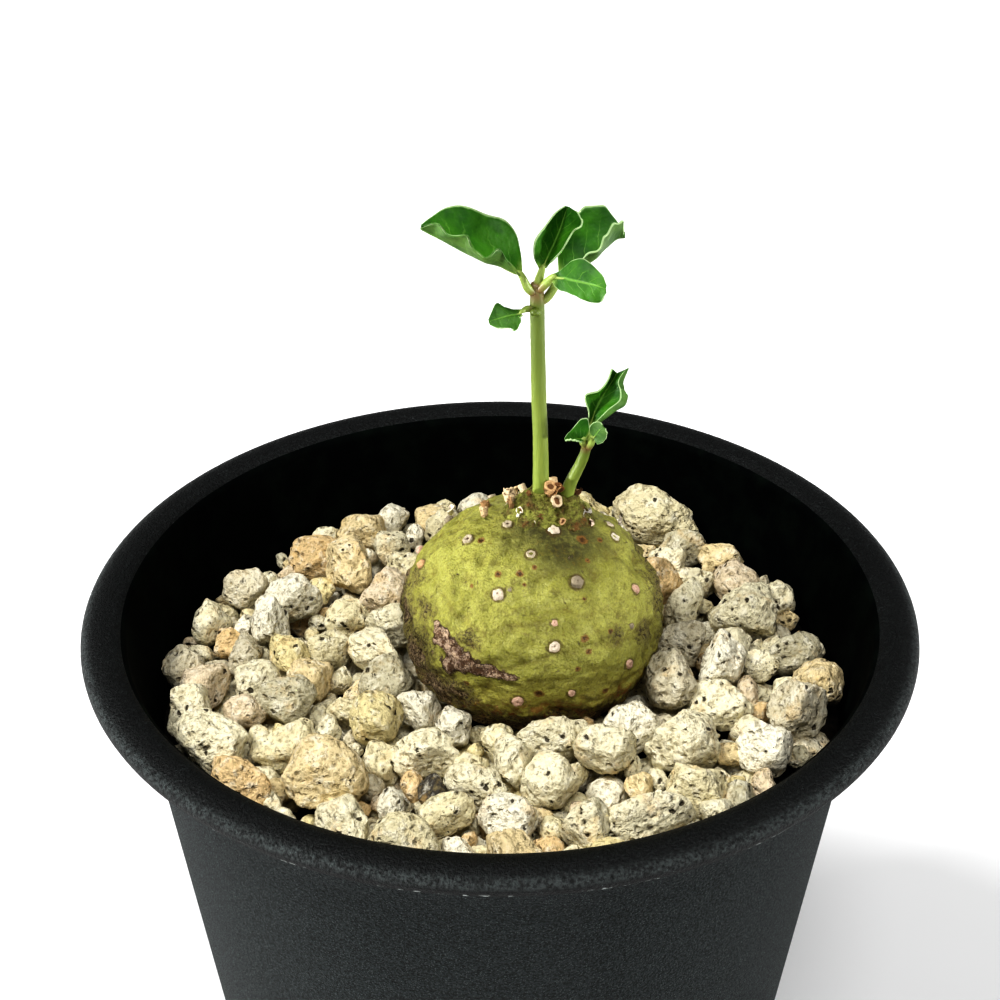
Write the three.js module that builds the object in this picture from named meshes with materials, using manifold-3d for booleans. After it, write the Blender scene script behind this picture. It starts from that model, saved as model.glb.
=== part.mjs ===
// A round-caudex succulent with two leafy shoots, growing in a round nursery pot
// that is filled with soil mix and topped with pumice. Millimetres, +Z up,
// origin at the middle of the pot's foot.

import * as THREE from 'three';
import { mergeVertices } from 'three/addons/utils/BufferGeometryUtils.js';
import Module from 'manifold-3d';

const wasm = await Module();
wasm.setup();

// ---- driving dimensions ---------------------------------------------------

const CLEARANCE = 0.3;
const DEGREE = Math.PI / 180;

const POT = {
  height: 80,
  rimRadius: 45,
  lipHalfWidth: 2.42,
  lipHalfHeight: 1.45,
  shoulderRadius: 38.9,
  shoulderDrop: 10,
  footRadius: 29.8,
  footWidth: 2.4,
  footHeight: 1.6,
  wall: 1.1,
  floor: 1.6,
  drainRadius: 3.5,
  drainCircle: 17,
  drainCount: 6,
  sides: 48,
};

const SOIL_TOP = 61;

const GRAVEL = {
  bedTop: 69.3,
  slopeX: 0.02,
  slopeY: -0.015,
  packing: 0.92,
  fillRadii: [2.5, 2.2, 1.95, 1.7],
  triesPerRadius: 400,
  seed: 2026,
  cuts: 6,
  swell: 1.14,
};

const CAUDEX = {
  centre: [3.3, 0.5, 78],
  radius: 14.15,
  halfHeight: 12.4,
  sides: 36,
  rings: 20,
  knobSink: 0.15,
  seed: 5,
};

const STEM_SIDES = 12;
const BLADE_THICKNESS = 0.6;
const STALK_HALF_WIDTH = 0.42;

// ---- materials --------------------------------------------------------------

const material = (color, roughness) => new THREE.MeshStandardMaterial({ color, roughness, metalness: 0 });
const potPlastic = material(0x26282a, 0.7);
const soilMix = material(0x3a2e24, 0.95);
const pumice = material(0xe4dcc4, 0.9);
const greenSkin = material(0x9aa544, 0.55);
const stemSkin = material(0x93a85a, 0.5);
const leafSkin = material(0x3f7d33, 0.45);

// ---- joining and cutting ----------------------------------------------------

function solidOf(geometry) {
  const bare = geometry.clone();
  bare.deleteAttribute('normal');
  bare.deleteAttribute('uv');
  const merged = mergeVertices(bare, 1e-4);
  return new wasm.Manifold(new wasm.Mesh({
    numProp: 3,
    vertProperties: new Float32Array(merged.attributes.position.array),
    triVerts: new Uint32Array(merged.index.array),
  }));
}

function geometryOf(solid) {
  const mesh = solid.getMesh();
  const geometry = new THREE.BufferGeometry();
  geometry.setAttribute('position', new THREE.BufferAttribute(mesh.vertProperties, 3));
  geometry.setIndex(new THREE.BufferAttribute(mesh.triVerts, 1));
  return geometry;
}

const joined = (solids) => solids.reduce((whole, piece) => whole.add(piece));

// Repeatable draws between 0 and 1.
function drawsFrom(seed) {
  let state = Math.imul(seed, 2654435761) >>> 0;
  return () => {
    state = (Math.imul(state, 1664525) + 1013904223) >>> 0;
    return state / 4294967296;
  };
}

function lathe(profile, sides) {
  const points = profile.map(([r, z]) => new THREE.Vector2(r, z));
  return new THREE.LatheGeometry(points, sides).rotateX(Math.PI / 2);
}

function movePoints(geometry, move) {
  const position = geometry.attributes.position;
  const point = new THREE.Vector3();
  for (let i = 0; i < position.count; i++) {
    move(point.fromBufferAttribute(position, i));
    position.setXYZ(i, point.x, point.y, point.z);
  }
  return geometry;
}

// ---- pot --------------------------------------------------------------------

const potFloorTop = POT.footHeight + POT.floor;
const shoulderHeight = POT.height - POT.shoulderDrop;
const lipCentreRadius = POT.rimRadius - POT.lipHalfWidth;
const lipCentreHeight = POT.height - POT.lipHalfHeight;

function innerRadiusAt(height) {
  const rise = (height - potFloorTop) / (shoulderHeight - potFloorTop);
  const foot = POT.footRadius - POT.wall;
  return foot + rise * (POT.shoulderRadius - POT.wall - foot);
}

function lipPoint(angle) {
  return [
    lipCentreRadius + POT.lipHalfWidth * Math.cos(angle * DEGREE),
    lipCentreHeight + POT.lipHalfHeight * Math.sin(angle * DEGREE),
  ];
}

// The wall flares in an even curve from its shoulder up to the rolled lip.
function flare(from, to, bend) {
  const curve = new THREE.QuadraticBezierCurve(
    new THREE.Vector2(...from), new THREE.Vector2(...bend), new THREE.Vector2(...to));
  return curve.getPoints(3).map((p) => [p.x, p.y]);
}

function potProfile() {
  const footInside = POT.footRadius - POT.footWidth;
  const outerShoulder = [POT.shoulderRadius, shoulderHeight];
  const innerShoulder = [POT.shoulderRadius - POT.wall, shoulderHeight];
  const underLip = lipPoint(-112);
  const insideLip = lipPoint(180);
  const lip = [];
  for (let angle = -80; angle < 170; angle += 36) {
    lip.push(lipPoint(angle));
  }
  return [
    [0, POT.footHeight],
    [footInside - 0.4, POT.footHeight],
    [footInside, 0],
    [POT.footRadius - 0.4, 0],
    [POT.footRadius, 0.5],
    ...flare(outerShoulder, underLip, [POT.shoulderRadius + 0.9, shoulderHeight + 4.6]),
    ...lip,
    ...flare(insideLip, innerShoulder, [POT.shoulderRadius + 0.5, shoulderHeight + 4.6]),
    [POT.footRadius - POT.wall, potFloorTop],
    [0, potFloorTop],
  ];
}

function makePot() {
  const shell = solidOf(lathe(potProfile(), POT.sides));
  const drains = [];
  for (let i = 0; i < POT.drainCount; i++) {
    const angle = (i / POT.drainCount) * 2 * Math.PI;
    const drain = new THREE.CylinderGeometry(POT.drainRadius, POT.drainRadius, 8, 12).rotateX(Math.PI / 2);
    drain.translate(POT.drainCircle * Math.cos(angle), POT.drainCircle * Math.sin(angle), POT.footHeight);
    drains.push(solidOf(drain));
  }
  return shell.subtract(joined(drains));
}

// ---- caudex -----------------------------------------------------------------

// Soft lumps and a shallow crease across the front, as a share of the radius.
function caudexRelief(direction) {
  const { x, y, z } = direction;
  const lumps = 0.016 * Math.sin(3.1 * x + 1.3) * Math.cos(2.7 * y - 0.4)
    + 0.012 * Math.sin(5.2 * y + 2.1 * z + 0.8)
    + 0.010 * Math.cos(4.4 * x - 3.6 * z + 2.0);
  const creaseHeight = 0.24 + 0.06 * Math.sin(5 * x);
  const crease = Math.exp(-(((z - creaseHeight) / 0.09) ** 2)) * Math.max(0, -y - 0.35);
  return 1 + lumps - 0.035 * crease;
}

// Moves a point of the unit sphere out to the caudex, or a little proud of it.
function ontoCaudex(point, proud) {
  const relief = caudexRelief(point);
  const across = CAUDEX.radius * relief + proud;
  const up = CAUDEX.halfHeight * relief + proud;
  return point.set(
    CAUDEX.centre[0] + point.x * across,
    CAUDEX.centre[1] + point.y * across,
    CAUDEX.centre[2] + point.z * up);
}

function caudexBall(proud) {
  const ball = new THREE.SphereGeometry(1, CAUDEX.sides, CAUDEX.rings).rotateX(Math.PI / 2);
  return movePoints(ball, (point) => ontoCaudex(point, proud));
}

// A round body that follows a line of [x, y, z, radius] stations.
function taperedRun(stations, sides, stepsPerStation, proud = 0) {
  const line = new THREE.CatmullRomCurve3(stations.map(([x, y, z]) => new THREE.Vector3(x, y, z)));
  const steps = (stations.length - 1) * stepsPerStation;
  const profile = [[0, 0]];
  for (let i = 0; i <= steps; i++) {
    profile.push([1, i / steps]);
  }
  profile.push([0, 1]);
  const run = lathe(profile, sides);
  const frames = line.computeFrenetFrames(steps, false);
  return movePoints(run, (point) => {
    const step = Math.round(point.z * steps);
    const along = line.getPoint(step / steps);
    const station = Math.min(Math.floor(step / stepsPerStation), stations.length - 2);
    const share = step / stepsPerStation - station;
    const radius = stations[station][3] * (1 - share) + stations[station + 1][3] * share + proud;
    const { x, y } = point;
    const end = { 0: -proud, [steps]: proud }[step] ?? 0;
    point.copy(along)
      .addScaledVector(frames.normals[step], x * radius)
      .addScaledVector(frames.binormals[step], y * radius)
      .addScaledVector(frames.tangents[step], end);
  });
}

const TAPROOT = [
  [1.8, 1.2, 43, 1.0],
  [2.4, 0.9, 52, 2.6],
  [3.0, 0.6, 61, 4.4],
  [3.3, 0.5, 69, 7.0],
];

const CROWN_MOUNDS = [
  [[4.0, 0.8, 87.5, 5.4], [4.1, 0.8, 90.8, 3.6], [4.25, 0.8, 93.2, 2.3], [4.3, 0.8, 94.6, 1.55]],
  [[6.6, 0.9, 87.5, 4.6], [6.8, 1.0, 90.4, 2.9], [7.0, 1.1, 92.4, 1.7], [7.3, 1.2, 93.5, 1.15]],
];

// Leaf-scar knobs that stand out on the front: azimuth, latitude and radius.
const FRONT_KNOBS = [
  [147, 66, 0.75], [108, 70, 0.7], [142, 78, 0.6], [-140, 77, 0.75], [-87, 82, 0.65],
  [-55, 74, 0.9], [-6, 72, 0.6], [-158, 60, 0.85], [-173, 34, 0.8], [-91, 64, 0.75],
  [-34, 64, 0.75], [-6, 52, 0.8], [-110, 44, 0.95], [-61, 48, 1.0],
  [-26, 31, 0.8], [-107, 55, 0.55], [-79, 32, 0.6], [-80, 21, 0.95], [-45, 1, 0.8], [-96, -8, 0.9],
  [-87, -4, 0.7], [-73, -5, 0.65],
];

const BACK_KNOBS = { count: 14, lowest: 5, highest: 66, azimuthFrom: 2, azimuthTo: 172 };

function backKnobs() {
  const draw = drawsFrom(CAUDEX.seed);
  const knobs = [];
  const { count, lowest, highest, azimuthFrom, azimuthTo } = BACK_KNOBS;
  for (let i = 0; i < count; i++) {
    const share = (i + 0.2 + 0.6 * draw()) / count;
    const latitude = lowest + (highest - lowest) * draw();
    knobs.push([azimuthFrom + (azimuthTo - azimuthFrom) * share, latitude, 0.55 + 0.4 * draw()]);
  }
  return knobs;
}

function knob([azimuth, latitude, radius]) {
  const ring = Math.cos(latitude * DEGREE);
  const place = ontoCaudex(new THREE.Vector3(
    ring * Math.cos(azimuth * DEGREE),
    ring * Math.sin(azimuth * DEGREE),
    Math.sin(latitude * DEGREE)), -CAUDEX.knobSink);
  return solidOf(new THREE.IcosahedronGeometry(radius, 0).translate(place.x, place.y, place.z));
}

// Dried stubs of old leaf stalks on the crown: foot and tip, with radii.
const CROWN_STUBS = [
  [[5.2, 0.6, 92.6, 0.9], [5.7, -0.9, 93.5, 0.8]],
  [[4.4, 0.4, 93.4, 0.6], [4.9, -1.6, 94.9, 0.55]],
  [[3.2, 0.2, 91.8, 0.6], [1.7, -0.9, 92.9, 0.45]],
  [[5.9, 2.0, 92.0, 0.55], [5.6, 3.0, 94.4, 0.4]],
  [[8.4, 1.2, 91.6, 0.6], [9.7, 0.9, 92.6, 0.45]],
  [[3.4, 1.8, 91.8, 0.55], [2.2, 2.9, 93.2, 0.4]],
];

function makeCaudex(stemSolids) {
  const parts = [solidOf(caudexBall(0)), solidOf(taperedRun(TAPROOT, 16, 2))];
  for (const mound of CROWN_MOUNDS) {
    parts.push(solidOf(taperedRun(mound, 14, 2)));
  }
  for (const stub of CROWN_STUBS) {
    parts.push(solidOf(taperedRun(stub, 8, 1)));
  }
  for (const place of [...FRONT_KNOBS, ...backKnobs()]) {
    parts.push(knob(place));
  }
  return joined(parts).subtract(joined(stemSolids));
}

// ---- stems ------------------------------------------------------------------

const MAIN_STEM = [
  [4.3, 0.8, 93.4, 0.88], [4.2, 0.8, 99.3, 0.82], [4.0, 0.8, 104, 0.78],
  [3.8, 0.5, 111.1, 0.74], [3.7, 0.4, 115.4, 0.74], [3.65, 0.3, 117.5, 0.6],
];

const SIDE_STEM = [
  [6.95, 1.3, 92.0, 0.74], [7.3, 1.2, 93.4, 0.7], [7.75, 1.0, 94.8, 0.64],
  [8.32, 0.8, 96.2, 0.58], [8.8, 0.6, 97.7, 0.54], [9.0, 0.45, 98.9, 0.5],
];

// A small scar bump on the main stem: foot and tip, with radii.
const STEM_BUMP = [[3.7, 0.1, 114.6, 0.55], [3.3, -0.75, 114.8, 0.35]];

function makeMainStem() {
  const bump = solidOf(taperedRun(STEM_BUMP, 8, 1));
  return solidOf(taperedRun(MAIN_STEM, STEM_SIDES, 2)).add(bump);
}

// ---- leaves -----------------------------------------------------------------

// A smooth line through its points, evened out by the distance between them.
function smoothLine(points) {
  return new THREE.CatmullRomCurve3(points.map((p) => new THREE.Vector3(...p)), false, 'centripetal');
}

// A leaf is a stalk that widens into a folded blade. Each cross-section runs
// from the near margin over the midrib to the far margin, on both faces.
function leafGeometry({ stalk, midrib, far, near, steps = 9 }) {
  const across = 3;
  const stalkSteps = 2;
  const middle = smoothLine(midrib);
  const farMargin = smoothLine(far);
  const nearMargin = smoothLine(near);
  const stalkLine = smoothLine([...stalk, midrib[0]]);
  const side = farMargin.getPoint(0).sub(nearMargin.getPoint(0)).normalize();
  const rows = [];
  for (let i = 0; i < stalkSteps; i++) {
    const centre = stalkLine.getPoint(i / stalkSteps);
    const row = [];
    for (let j = -across; j <= across; j++) {
      row.push(centre.clone().addScaledVector(side, (STALK_HALF_WIDTH * j) / across));
    }
    rows.push(row);
  }
  for (let i = 0; i <= steps; i++) {
    const t = i / steps;
    const centre = middle.getPoint(t);
    const row = [];
    for (let j = -across; j <= across; j++) {
      const edge = j < 0 ? nearMargin.getPoint(t) : farMargin.getPoint(t);
      row.push(centre.clone().lerp(edge, Math.abs(j) / across));
    }
    rows.push(row);
  }
  return thickSheet(rows);
}

// Gives a grid of points a thickness, with both faces split into triangles alike.
function thickSheet(rows) {
  const last = rows.length - 1;
  const width = rows[0].length;
  const normals = rows.map((row, i) => row.map((point, j) => {
    const along = rows[Math.min(i + 1, last)][j].clone().sub(rows[Math.max(i - 1, 0)][j]);
    const over = row[Math.min(j + 1, width - 1)].clone().sub(row[Math.max(j - 1, 0)]);
    return over.cross(along).normalize();
  }));
  const positions = [];
  for (const face of [0.5, -0.5]) {
    rows.forEach((row, i) => row.forEach((point, j) => {
      const shifted = point.clone().addScaledVector(normals[i][j], face * BLADE_THICKNESS);
      positions.push(shifted.x, shifted.y, shifted.z);
    }));
  }
  const back = rows.length * width;
  const index = [];
  const quad = (a, b, c, d) => index.push(a, b, c, a, c, d);
  for (let i = 0; i < last; i++) {
    for (let j = 0; j < width - 1; j++) {
      const a = i * width + j;
      const b = a + 1;
      const c = a + width + 1;
      const d = a + width;
      quad(a, b, c, d);
      index.push(back + a, back + c, back + b, back + a, back + d, back + c);
    }
    const left = i * width;
    const right = left + width - 1;
    quad(left, left + width, back + left + width, back + left);
    quad(right, back + right, back + right + width, right + width);
  }
  for (let j = 0; j < width - 1; j++) {
    const foot = j;
    const tip = last * width + j;
    quad(foot, back + foot, back + foot + 1, foot + 1);
    quad(tip, tip + 1, back + tip + 1, back + tip);
  }
  const sheet = new THREE.BufferGeometry();
  sheet.setAttribute('position', new THREE.BufferAttribute(new Float32Array(positions), 3));
  sheet.setIndex(index);
  return sheet;
}

const LEAVES = {
  leaf_left: {
    stalk: [[2.7, -0.1, 117.3]],
    midrib: [[2.0, -0.4, 118.9], [0.5, -0.8, 119.9], [-2.6, -1.1, 121.3], [-5.6, -1.4, 123.2],
      [-7.6, -1.7, 124.5]],
    far: [[2.2, 0, 119.2], [2, 1.2, 120.9], [1.1, 2.6, 122.9], [-1.3, 3, 123.9], [-4.3, 2, 125.3],
      [-6.2, 0.2, 125.2], [-7.5, -1.4, 124.8]],
    near: [[2, -0.8, 119], [0.9, -2.6, 121.3], [-0.3, -3.6, 123], [-1.5, -4.3, 122.5], [-2.5, -4, 123.4],
      [-3.2, -3.9, 124.5], [-5.1, -3.4, 124.5], [-5.9, -2.4, 125.2], [-7.6, -2, 124.8]],
    steps: 16,
  },
  leaf_upright: {
    stalk: [[3.9, 0.6, 117.9]],
    midrib: [[4.2, 0.4, 119.2], [4.6, 0.5, 120.2], [5.4, 1.1, 121.8], [6.1, 1.7, 123.6], [6.6, 2.3, 125]],
    far: [[3.8, 0.3, 119.3], [3.4, -0.3, 120.7], [3.5, -0.6, 122.7], [4.4, 0.2, 123.7], [5.5, 1.2, 124.8],
      [6.4, 2.1, 125.1]],
    near: [[4.6, 0.3, 119.3], [5, -0.3, 120.3], [6.2, -0.5, 122], [7, -0.5, 123.6], [7.9, -0.3, 124.3],
      [7.7, 0.5, 124.9], [6.8, 2.2, 125]],
  },
  leaf_right_back: {
    stalk: [[4.75, 0.6, 115.9], [5.5, 0.9, 117]],
    midrib: [[6.1, 1.2, 117.9], [7.3, 1.6, 118.6], [9.1, 2.2, 119.3], [10.5, 2.6, 120.5], [11.6, 2.8, 121.4],
      [12.4, 2.9, 121.5]],
    far: [[5.8, 1.5, 118.2], [5.8, 3, 120.1], [7, 4.4, 122.5], [8.4, 5, 123.7], [10.3, 5, 123.9],
      [11.3, 4.2, 123], [12.4, 3.2, 121.8]],
    near: [[6.3, 0.8, 118], [7.2, 0.2, 119.5], [8.3, -0.3, 120.9], [9.7, -0.4, 122], [10.3, 0.2, 123.1],
      [11.2, 1, 123.8], [12, 1.9, 123.6], [12.3, 2.6, 121.9]],
    steps: 12,
  },
  leaf_right_front: {
    stalk: [[4.65, -0.25, 117.9]],
    midrib: [[5.2, -0.9, 118.8], [5.9, -1.3, 119.1], [6.8, -1.9, 119.1], [8.4, -2.9, 119.2],
      [9.5, -3.7, 119.3], [10.2, -4.1, 119.2]],
    far: [[5, -0.7, 119.1], [5.8, -1, 119.6], [7, -1, 120.7], [8.1, -1.3, 121.1], [9.4, -2.4, 120.5],
      [10, -3.3, 120.1], [10.3, -3.9, 119.5]],
    near: [[5.1, -1.2, 118.5], [5.7, -1.8, 118], [6.7, -2.6, 118], [7.7, -3.3, 117.8], [8.7, -3.8, 117.6],
      [9.7, -4.2, 117.8], [10.2, -4.3, 118.8]],
  },
  leaf_small_left: {
    stalk: [[2.68, -0.1, 114.9]],
    midrib: [[2.2, -0.6, 114.9], [1.6, -0.8, 114.8], [0.8, -1, 114.7], [-0.3, -1.3, 114.5],
      [-1.1, -1.6, 114.4]],
    far: [[2.2, -0.3, 115.1], [1.3, -0.1, 115], [0.4, 0.1, 115.2], [-0.3, 0.1, 115.6],
      [-0.8, -0.7, 115.1], [-1.1, -1.4, 114.6]],
    near: [[2.1, -0.9, 114.7], [2, -1.5, 114.1], [1.5, -1.9, 113.5], [1, -1.9, 113.8],
      [-0.3, -2, 113.9], [-1, -1.8, 114.1]],
  },
  side_leaf_main: {
    stalk: [[9.15, 0.75, 99.6]],
    midrib: [[9.3, 0.9, 100.9], [9.7, 1, 102.5], [10.4, 1.3, 104.1], [11.3, 1.8, 105.4], [12, 2.3, 106.5]],
    far: [[9.1, 0.8, 101.2], [9.2, 0.5, 102.9], [8.8, 0.2, 105], [10.1, 0.5, 105.3], [11, 1.1, 106.1],
      [11.5, 1.7, 107.3]],
    near: [[9.6, 0.7, 101], [10.6, 0.1, 102.1], [11.7, -0.1, 103.2], [13, 0.3, 104.1], [12.9, 0.6, 105.1],
      [12.6, 0.9, 105.8], [12.8, 1.2, 106.6], [13.2, 1.9, 107.3]],
  },
  side_leaf_left: {
    stalk: [[8.5, 0.1, 99.5]],
    midrib: [[8.4, 0, 100], [8, -0.1, 100], [7.5, -0.3, 100], [6.8, -0.6, 100.2]],
    far: [[8.5, 0.4, 100.4], [8.4, 1.3, 101.8], [8, 1.4, 101.9], [7.5, 0.9, 101.3], [6.9, 0, 100.6],
      [6.6, -0.4, 100.4]],
    near: [[8.3, -0.4, 100], [8.1, -0.9, 100.5], [7.7, -1.2, 101], [7.1, -1, 100.9], [6.7, -0.8, 100.4]],
  },
  side_leaf_lobe: {
    stalk: [[9.45, -0.3, 99.6]],
    midrib: [[9.5, -0.6, 100.4], [9.8, -0.9, 101], [10.1, -1.2, 101.7], [10.5, -1.4, 102.2]],
    far: [[9.3, -0.5, 100.6], [9.2, -0.6, 101.7], [9.6, -0.8, 102.4], [10.2, -1.1, 102.6],
      [10.4, -1.3, 102.4]],
    near: [[9.7, -0.8, 100.3], [10, -1.2, 100.1], [10.6, -1.6, 100.6], [10.9, -1.7, 101.5],
      [10.7, -1.6, 102.1]],
  },
};

// ---- pumice -----------------------------------------------------------------

// Stones placed by eye: x, y, half length, half width and turn in degrees.
const LARGE_STONES = [
  [-16.1, 27.5, 2.8, 2.5, 20], [-21.8, 22.7, 3, 2.6, -30], [-30.7, 5.8, 2, 2.2, 0],
  [-18, -20.7, 4.1, 3.9, 40], [-12.9, -10.9, 2.9, 2.6, 60], [14.2, -20.7, 1.5, 1.5, 0],
  [34.4, -4.1, 2.7, 2.6, 30], [25.6, 20.9, 2.7, 2.1, 10], [-27.3, -8, 2.1, 1.8, 0],
  [-6.7, -22.4, 1.5, 2, 10], [19, 28.3, 5.4, 2.8, -28], [21.3, 23.6, 2.8, 2.1, -10],
  [28, 9.2, 4, 3.6, 40], [19.2, -15.5, 4.1, 2.9, 15], [19.7, -22.1, 3.4, 2.4, -20],
  [5.2, -13.9, 3.4, 2.6, 10], [5.5, -21.6, 3, 2.7, 0], [13, -12.5, 2.9, 2.7, 50],
  [0.7, -27.1, 3, 2.6, 0], [-29.9, -14.5, 4.1, 2.9, -40], [-24.3, 12.4, 3.2, 3, 0],
  [-35.2, 1.2, 2.3, 2.4, 0], [-8.9, -8.4, 2.4, 2.5, 70], [-4.8, -11.9, 2.1, 2.4, 0],
  [-7.3, -16.4, 3.6, 2.2, 5], [-17.6, 9.8, 2.6, 2.8, 50], [-20.8, -2.6, 2.2, 2.8, -20],
  [-26.7, -3, 2.4, 3, 15], [-21.9, -14.9, 3.4, 2, 25], [23.2, -8.5, 3.3, 2.5, 0],
  [32.7, 1.8, 2.9, 2, 15], [31.4, -10.2, 3.1, 2.7, 60], [27.6, -15.5, 2.6, 2.5, 0],
  [20.7, 3.7, 2.7, 2.7, 0], [25.8, 2.8, 2.2, 1.8, 10], [-2.8, 32.4, 2.4, 2.2, 0],
  [-29.3, 15.4, 2.3, 2.7, 30], [14.6, -27.2, 4.3, 2.2, 5], [-13.2, 24.2, 2.4, 2, 60],
  [-8.2, 31.5, 2.2, 2, 0], [-33, 9.2, 2.4, 2, 70],
];

// The rest settle between them, from coarse to fine, wherever one still fits.
function placeStones() {
  const draw = drawsFrom(GRAVEL.seed);
  const stones = LARGE_STONES.map(([x, y, long, wide, turn]) => {
    return { x, y, long, wide, turn, mean: (long + wide) / 2 };
  });
  const wallRadius = innerRadiusAt(GRAVEL.bedTop) - CLEARANCE;
  const neckRadius = CAUDEX.radius * 0.8;
  for (const radius of GRAVEL.fillRadii) {
    for (let i = 0; i < GRAVEL.triesPerRadius; i++) {
      const x = wallRadius * (2 * draw() - 1);
      const y = wallRadius * (2 * draw() - 1);
      const long = radius * (0.95 + 0.3 * draw());
      const wide = radius * (0.8 + 0.25 * draw());
      const turn = 180 * draw();
      const mean = (long + wide) / 2;
      const reach = wallRadius - long;
      const inside = x * x + y * y < reach * reach;
      const offX = x - CAUDEX.centre[0];
      const offY = y - CAUDEX.centre[1];
      const neck = neckRadius + mean;
      const clearOfCaudex = offX * offX + offY * offY > neck * neck;
      const fits = inside && clearOfCaudex && stones.every((other) => {
        const apart = GRAVEL.packing * (mean + other.mean);
        return (x - other.x) ** 2 + (y - other.y) ** 2 > apart * apart;
      });
      if (fits) {
        stones.push({ x, y, long, wide, turn, mean, coarse: true });
      }
    }
  }
  return stones;
}

const gravelSlopeAt = (x, y) => GRAVEL.slopeX * x + GRAVEL.slopeY * y;

// A stone is a ball with flats knocked off it, stretched and turned.
function stoneSolid(stone, order) {
  const draw = drawsFrom(order + 101);
  const cuts = [];
  for (let i = 0; i < GRAVEL.cuts; i++) {
    const height = 2 * draw() - 1;
    const angle = 2 * Math.PI * draw();
    const ring = Math.sqrt(1 - height * height);
    const normal = new THREE.Vector3(ring * Math.cos(angle), ring * Math.sin(angle), height);
    cuts.push({ normal, depth: 0.8 + 0.18 * draw() });
  }
  const tall = stone.mean * (0.8 + 0.2 * draw());
  const lift = stone.mean * (0.4 + 0.2 * draw());
  const rest = GRAVEL.bedTop + gravelSlopeAt(stone.x, stone.y) + lift;
  const turn = stone.turn * DEGREE;
  const ball = stone.coarse ? new THREE.IcosahedronGeometry(1, 0) : new THREE.DodecahedronGeometry(1, 0);
  const shape = movePoints(ball, (point) => {
    let reach = 1;
    for (const { normal, depth } of cuts) {
      const facing = point.dot(normal);
      if (facing > 0.05) {
        reach = Math.min(reach, depth / facing);
      }
    }
    reach *= GRAVEL.swell;
    const x = point.x * reach * stone.long;
    const y = point.y * reach * stone.wide;
    point.set(
      stone.x + x * Math.cos(turn) - y * Math.sin(turn),
      stone.y + x * Math.sin(turn) + y * Math.cos(turn),
      rest + point.z * reach * tall);
  });
  return solidOf(shape);
}

function gravelBed() {
  const foot = SOIL_TOP + CLEARANCE;
  const bed = lathe([
    [0, foot],
    [innerRadiusAt(foot) - CLEARANCE, foot],
    [innerRadiusAt(GRAVEL.bedTop) - CLEARANCE, GRAVEL.bedTop],
    [0, GRAVEL.bedTop],
  ], POT.sides);
  return movePoints(bed, (point) => {
    if (point.z > foot + 1) {
      point.z += gravelSlopeAt(point.x, point.y);
    }
  });
}

function makeGravel(caudexRoom) {
  const stones = placeStones().map(stoneSolid);
  return joined([solidOf(gravelBed()), ...stones]).subtract(caudexRoom);
}

function makeSoil(caudexRoom) {
  const foot = potFloorTop + CLEARANCE;
  const plug = lathe([
    [0, foot],
    [innerRadiusAt(foot) - CLEARANCE, foot],
    [innerRadiusAt(SOIL_TOP) - CLEARANCE, SOIL_TOP],
    [0, SOIL_TOP],
  ], POT.sides);
  return solidOf(plug).subtract(caudexRoom);
}

// ---- the whole plant in its pot --------------------------------------------

const plant = new THREE.Group();

function place(name, geometry, skin) {
  const mesh = new THREE.Mesh(geometry, skin);
  mesh.name = name;
  plant.add(mesh);
}

const stemSockets = [
  solidOf(taperedRun(MAIN_STEM, STEM_SIDES, 2, CLEARANCE)),
  solidOf(taperedRun(SIDE_STEM, STEM_SIDES, 2, CLEARANCE)),
];
const caudexRoom = joined([
  solidOf(caudexBall(CLEARANCE)),
  solidOf(taperedRun(TAPROOT, 16, 2, CLEARANCE)),
]);

place('pot', geometryOf(makePot()), potPlastic);
place('potting_soil', geometryOf(makeSoil(caudexRoom)), soilMix);
place('pumice_gravel', geometryOf(makeGravel(caudexRoom)), pumice);
place('caudex', geometryOf(makeCaudex(stemSockets)), greenSkin);
place('main_stem', geometryOf(makeMainStem()), stemSkin);
place('side_stem', taperedRun(SIDE_STEM, STEM_SIDES, 2), stemSkin);
for (const [name, leaf] of Object.entries(LEAVES)) {
  place(name, leafGeometry(leaf), leafSkin);
}

export default plant;
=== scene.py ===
"""A round-caudex succulent with two leafy shoots, in a nursery pot topped with pumice."""

import math

import bmesh
import bpy
import numpy as np
from mathutils import Matrix, Vector, noise


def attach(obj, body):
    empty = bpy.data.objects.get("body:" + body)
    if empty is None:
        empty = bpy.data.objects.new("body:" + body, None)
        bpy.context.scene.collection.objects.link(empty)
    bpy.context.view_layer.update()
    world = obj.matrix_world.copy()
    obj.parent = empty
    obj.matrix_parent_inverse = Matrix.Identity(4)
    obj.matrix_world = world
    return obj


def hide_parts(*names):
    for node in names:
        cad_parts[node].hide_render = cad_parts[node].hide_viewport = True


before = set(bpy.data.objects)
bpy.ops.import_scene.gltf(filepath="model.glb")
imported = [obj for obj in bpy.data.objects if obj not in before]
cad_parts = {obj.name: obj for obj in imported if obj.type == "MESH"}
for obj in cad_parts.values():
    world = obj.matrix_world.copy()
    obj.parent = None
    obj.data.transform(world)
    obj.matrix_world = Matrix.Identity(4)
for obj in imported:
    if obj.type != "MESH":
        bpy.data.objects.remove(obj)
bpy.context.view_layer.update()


# ---- The pot ----------------------------------------------------------------
# A black nursery pot, injection-moulded in one piece: a straight tapered wall that
# flares at the shoulder into a thick rolled lip. The mould leaves the lip smooth and
# the wall finely sanded. It stands on a foot ring and drains through six holes.

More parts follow.
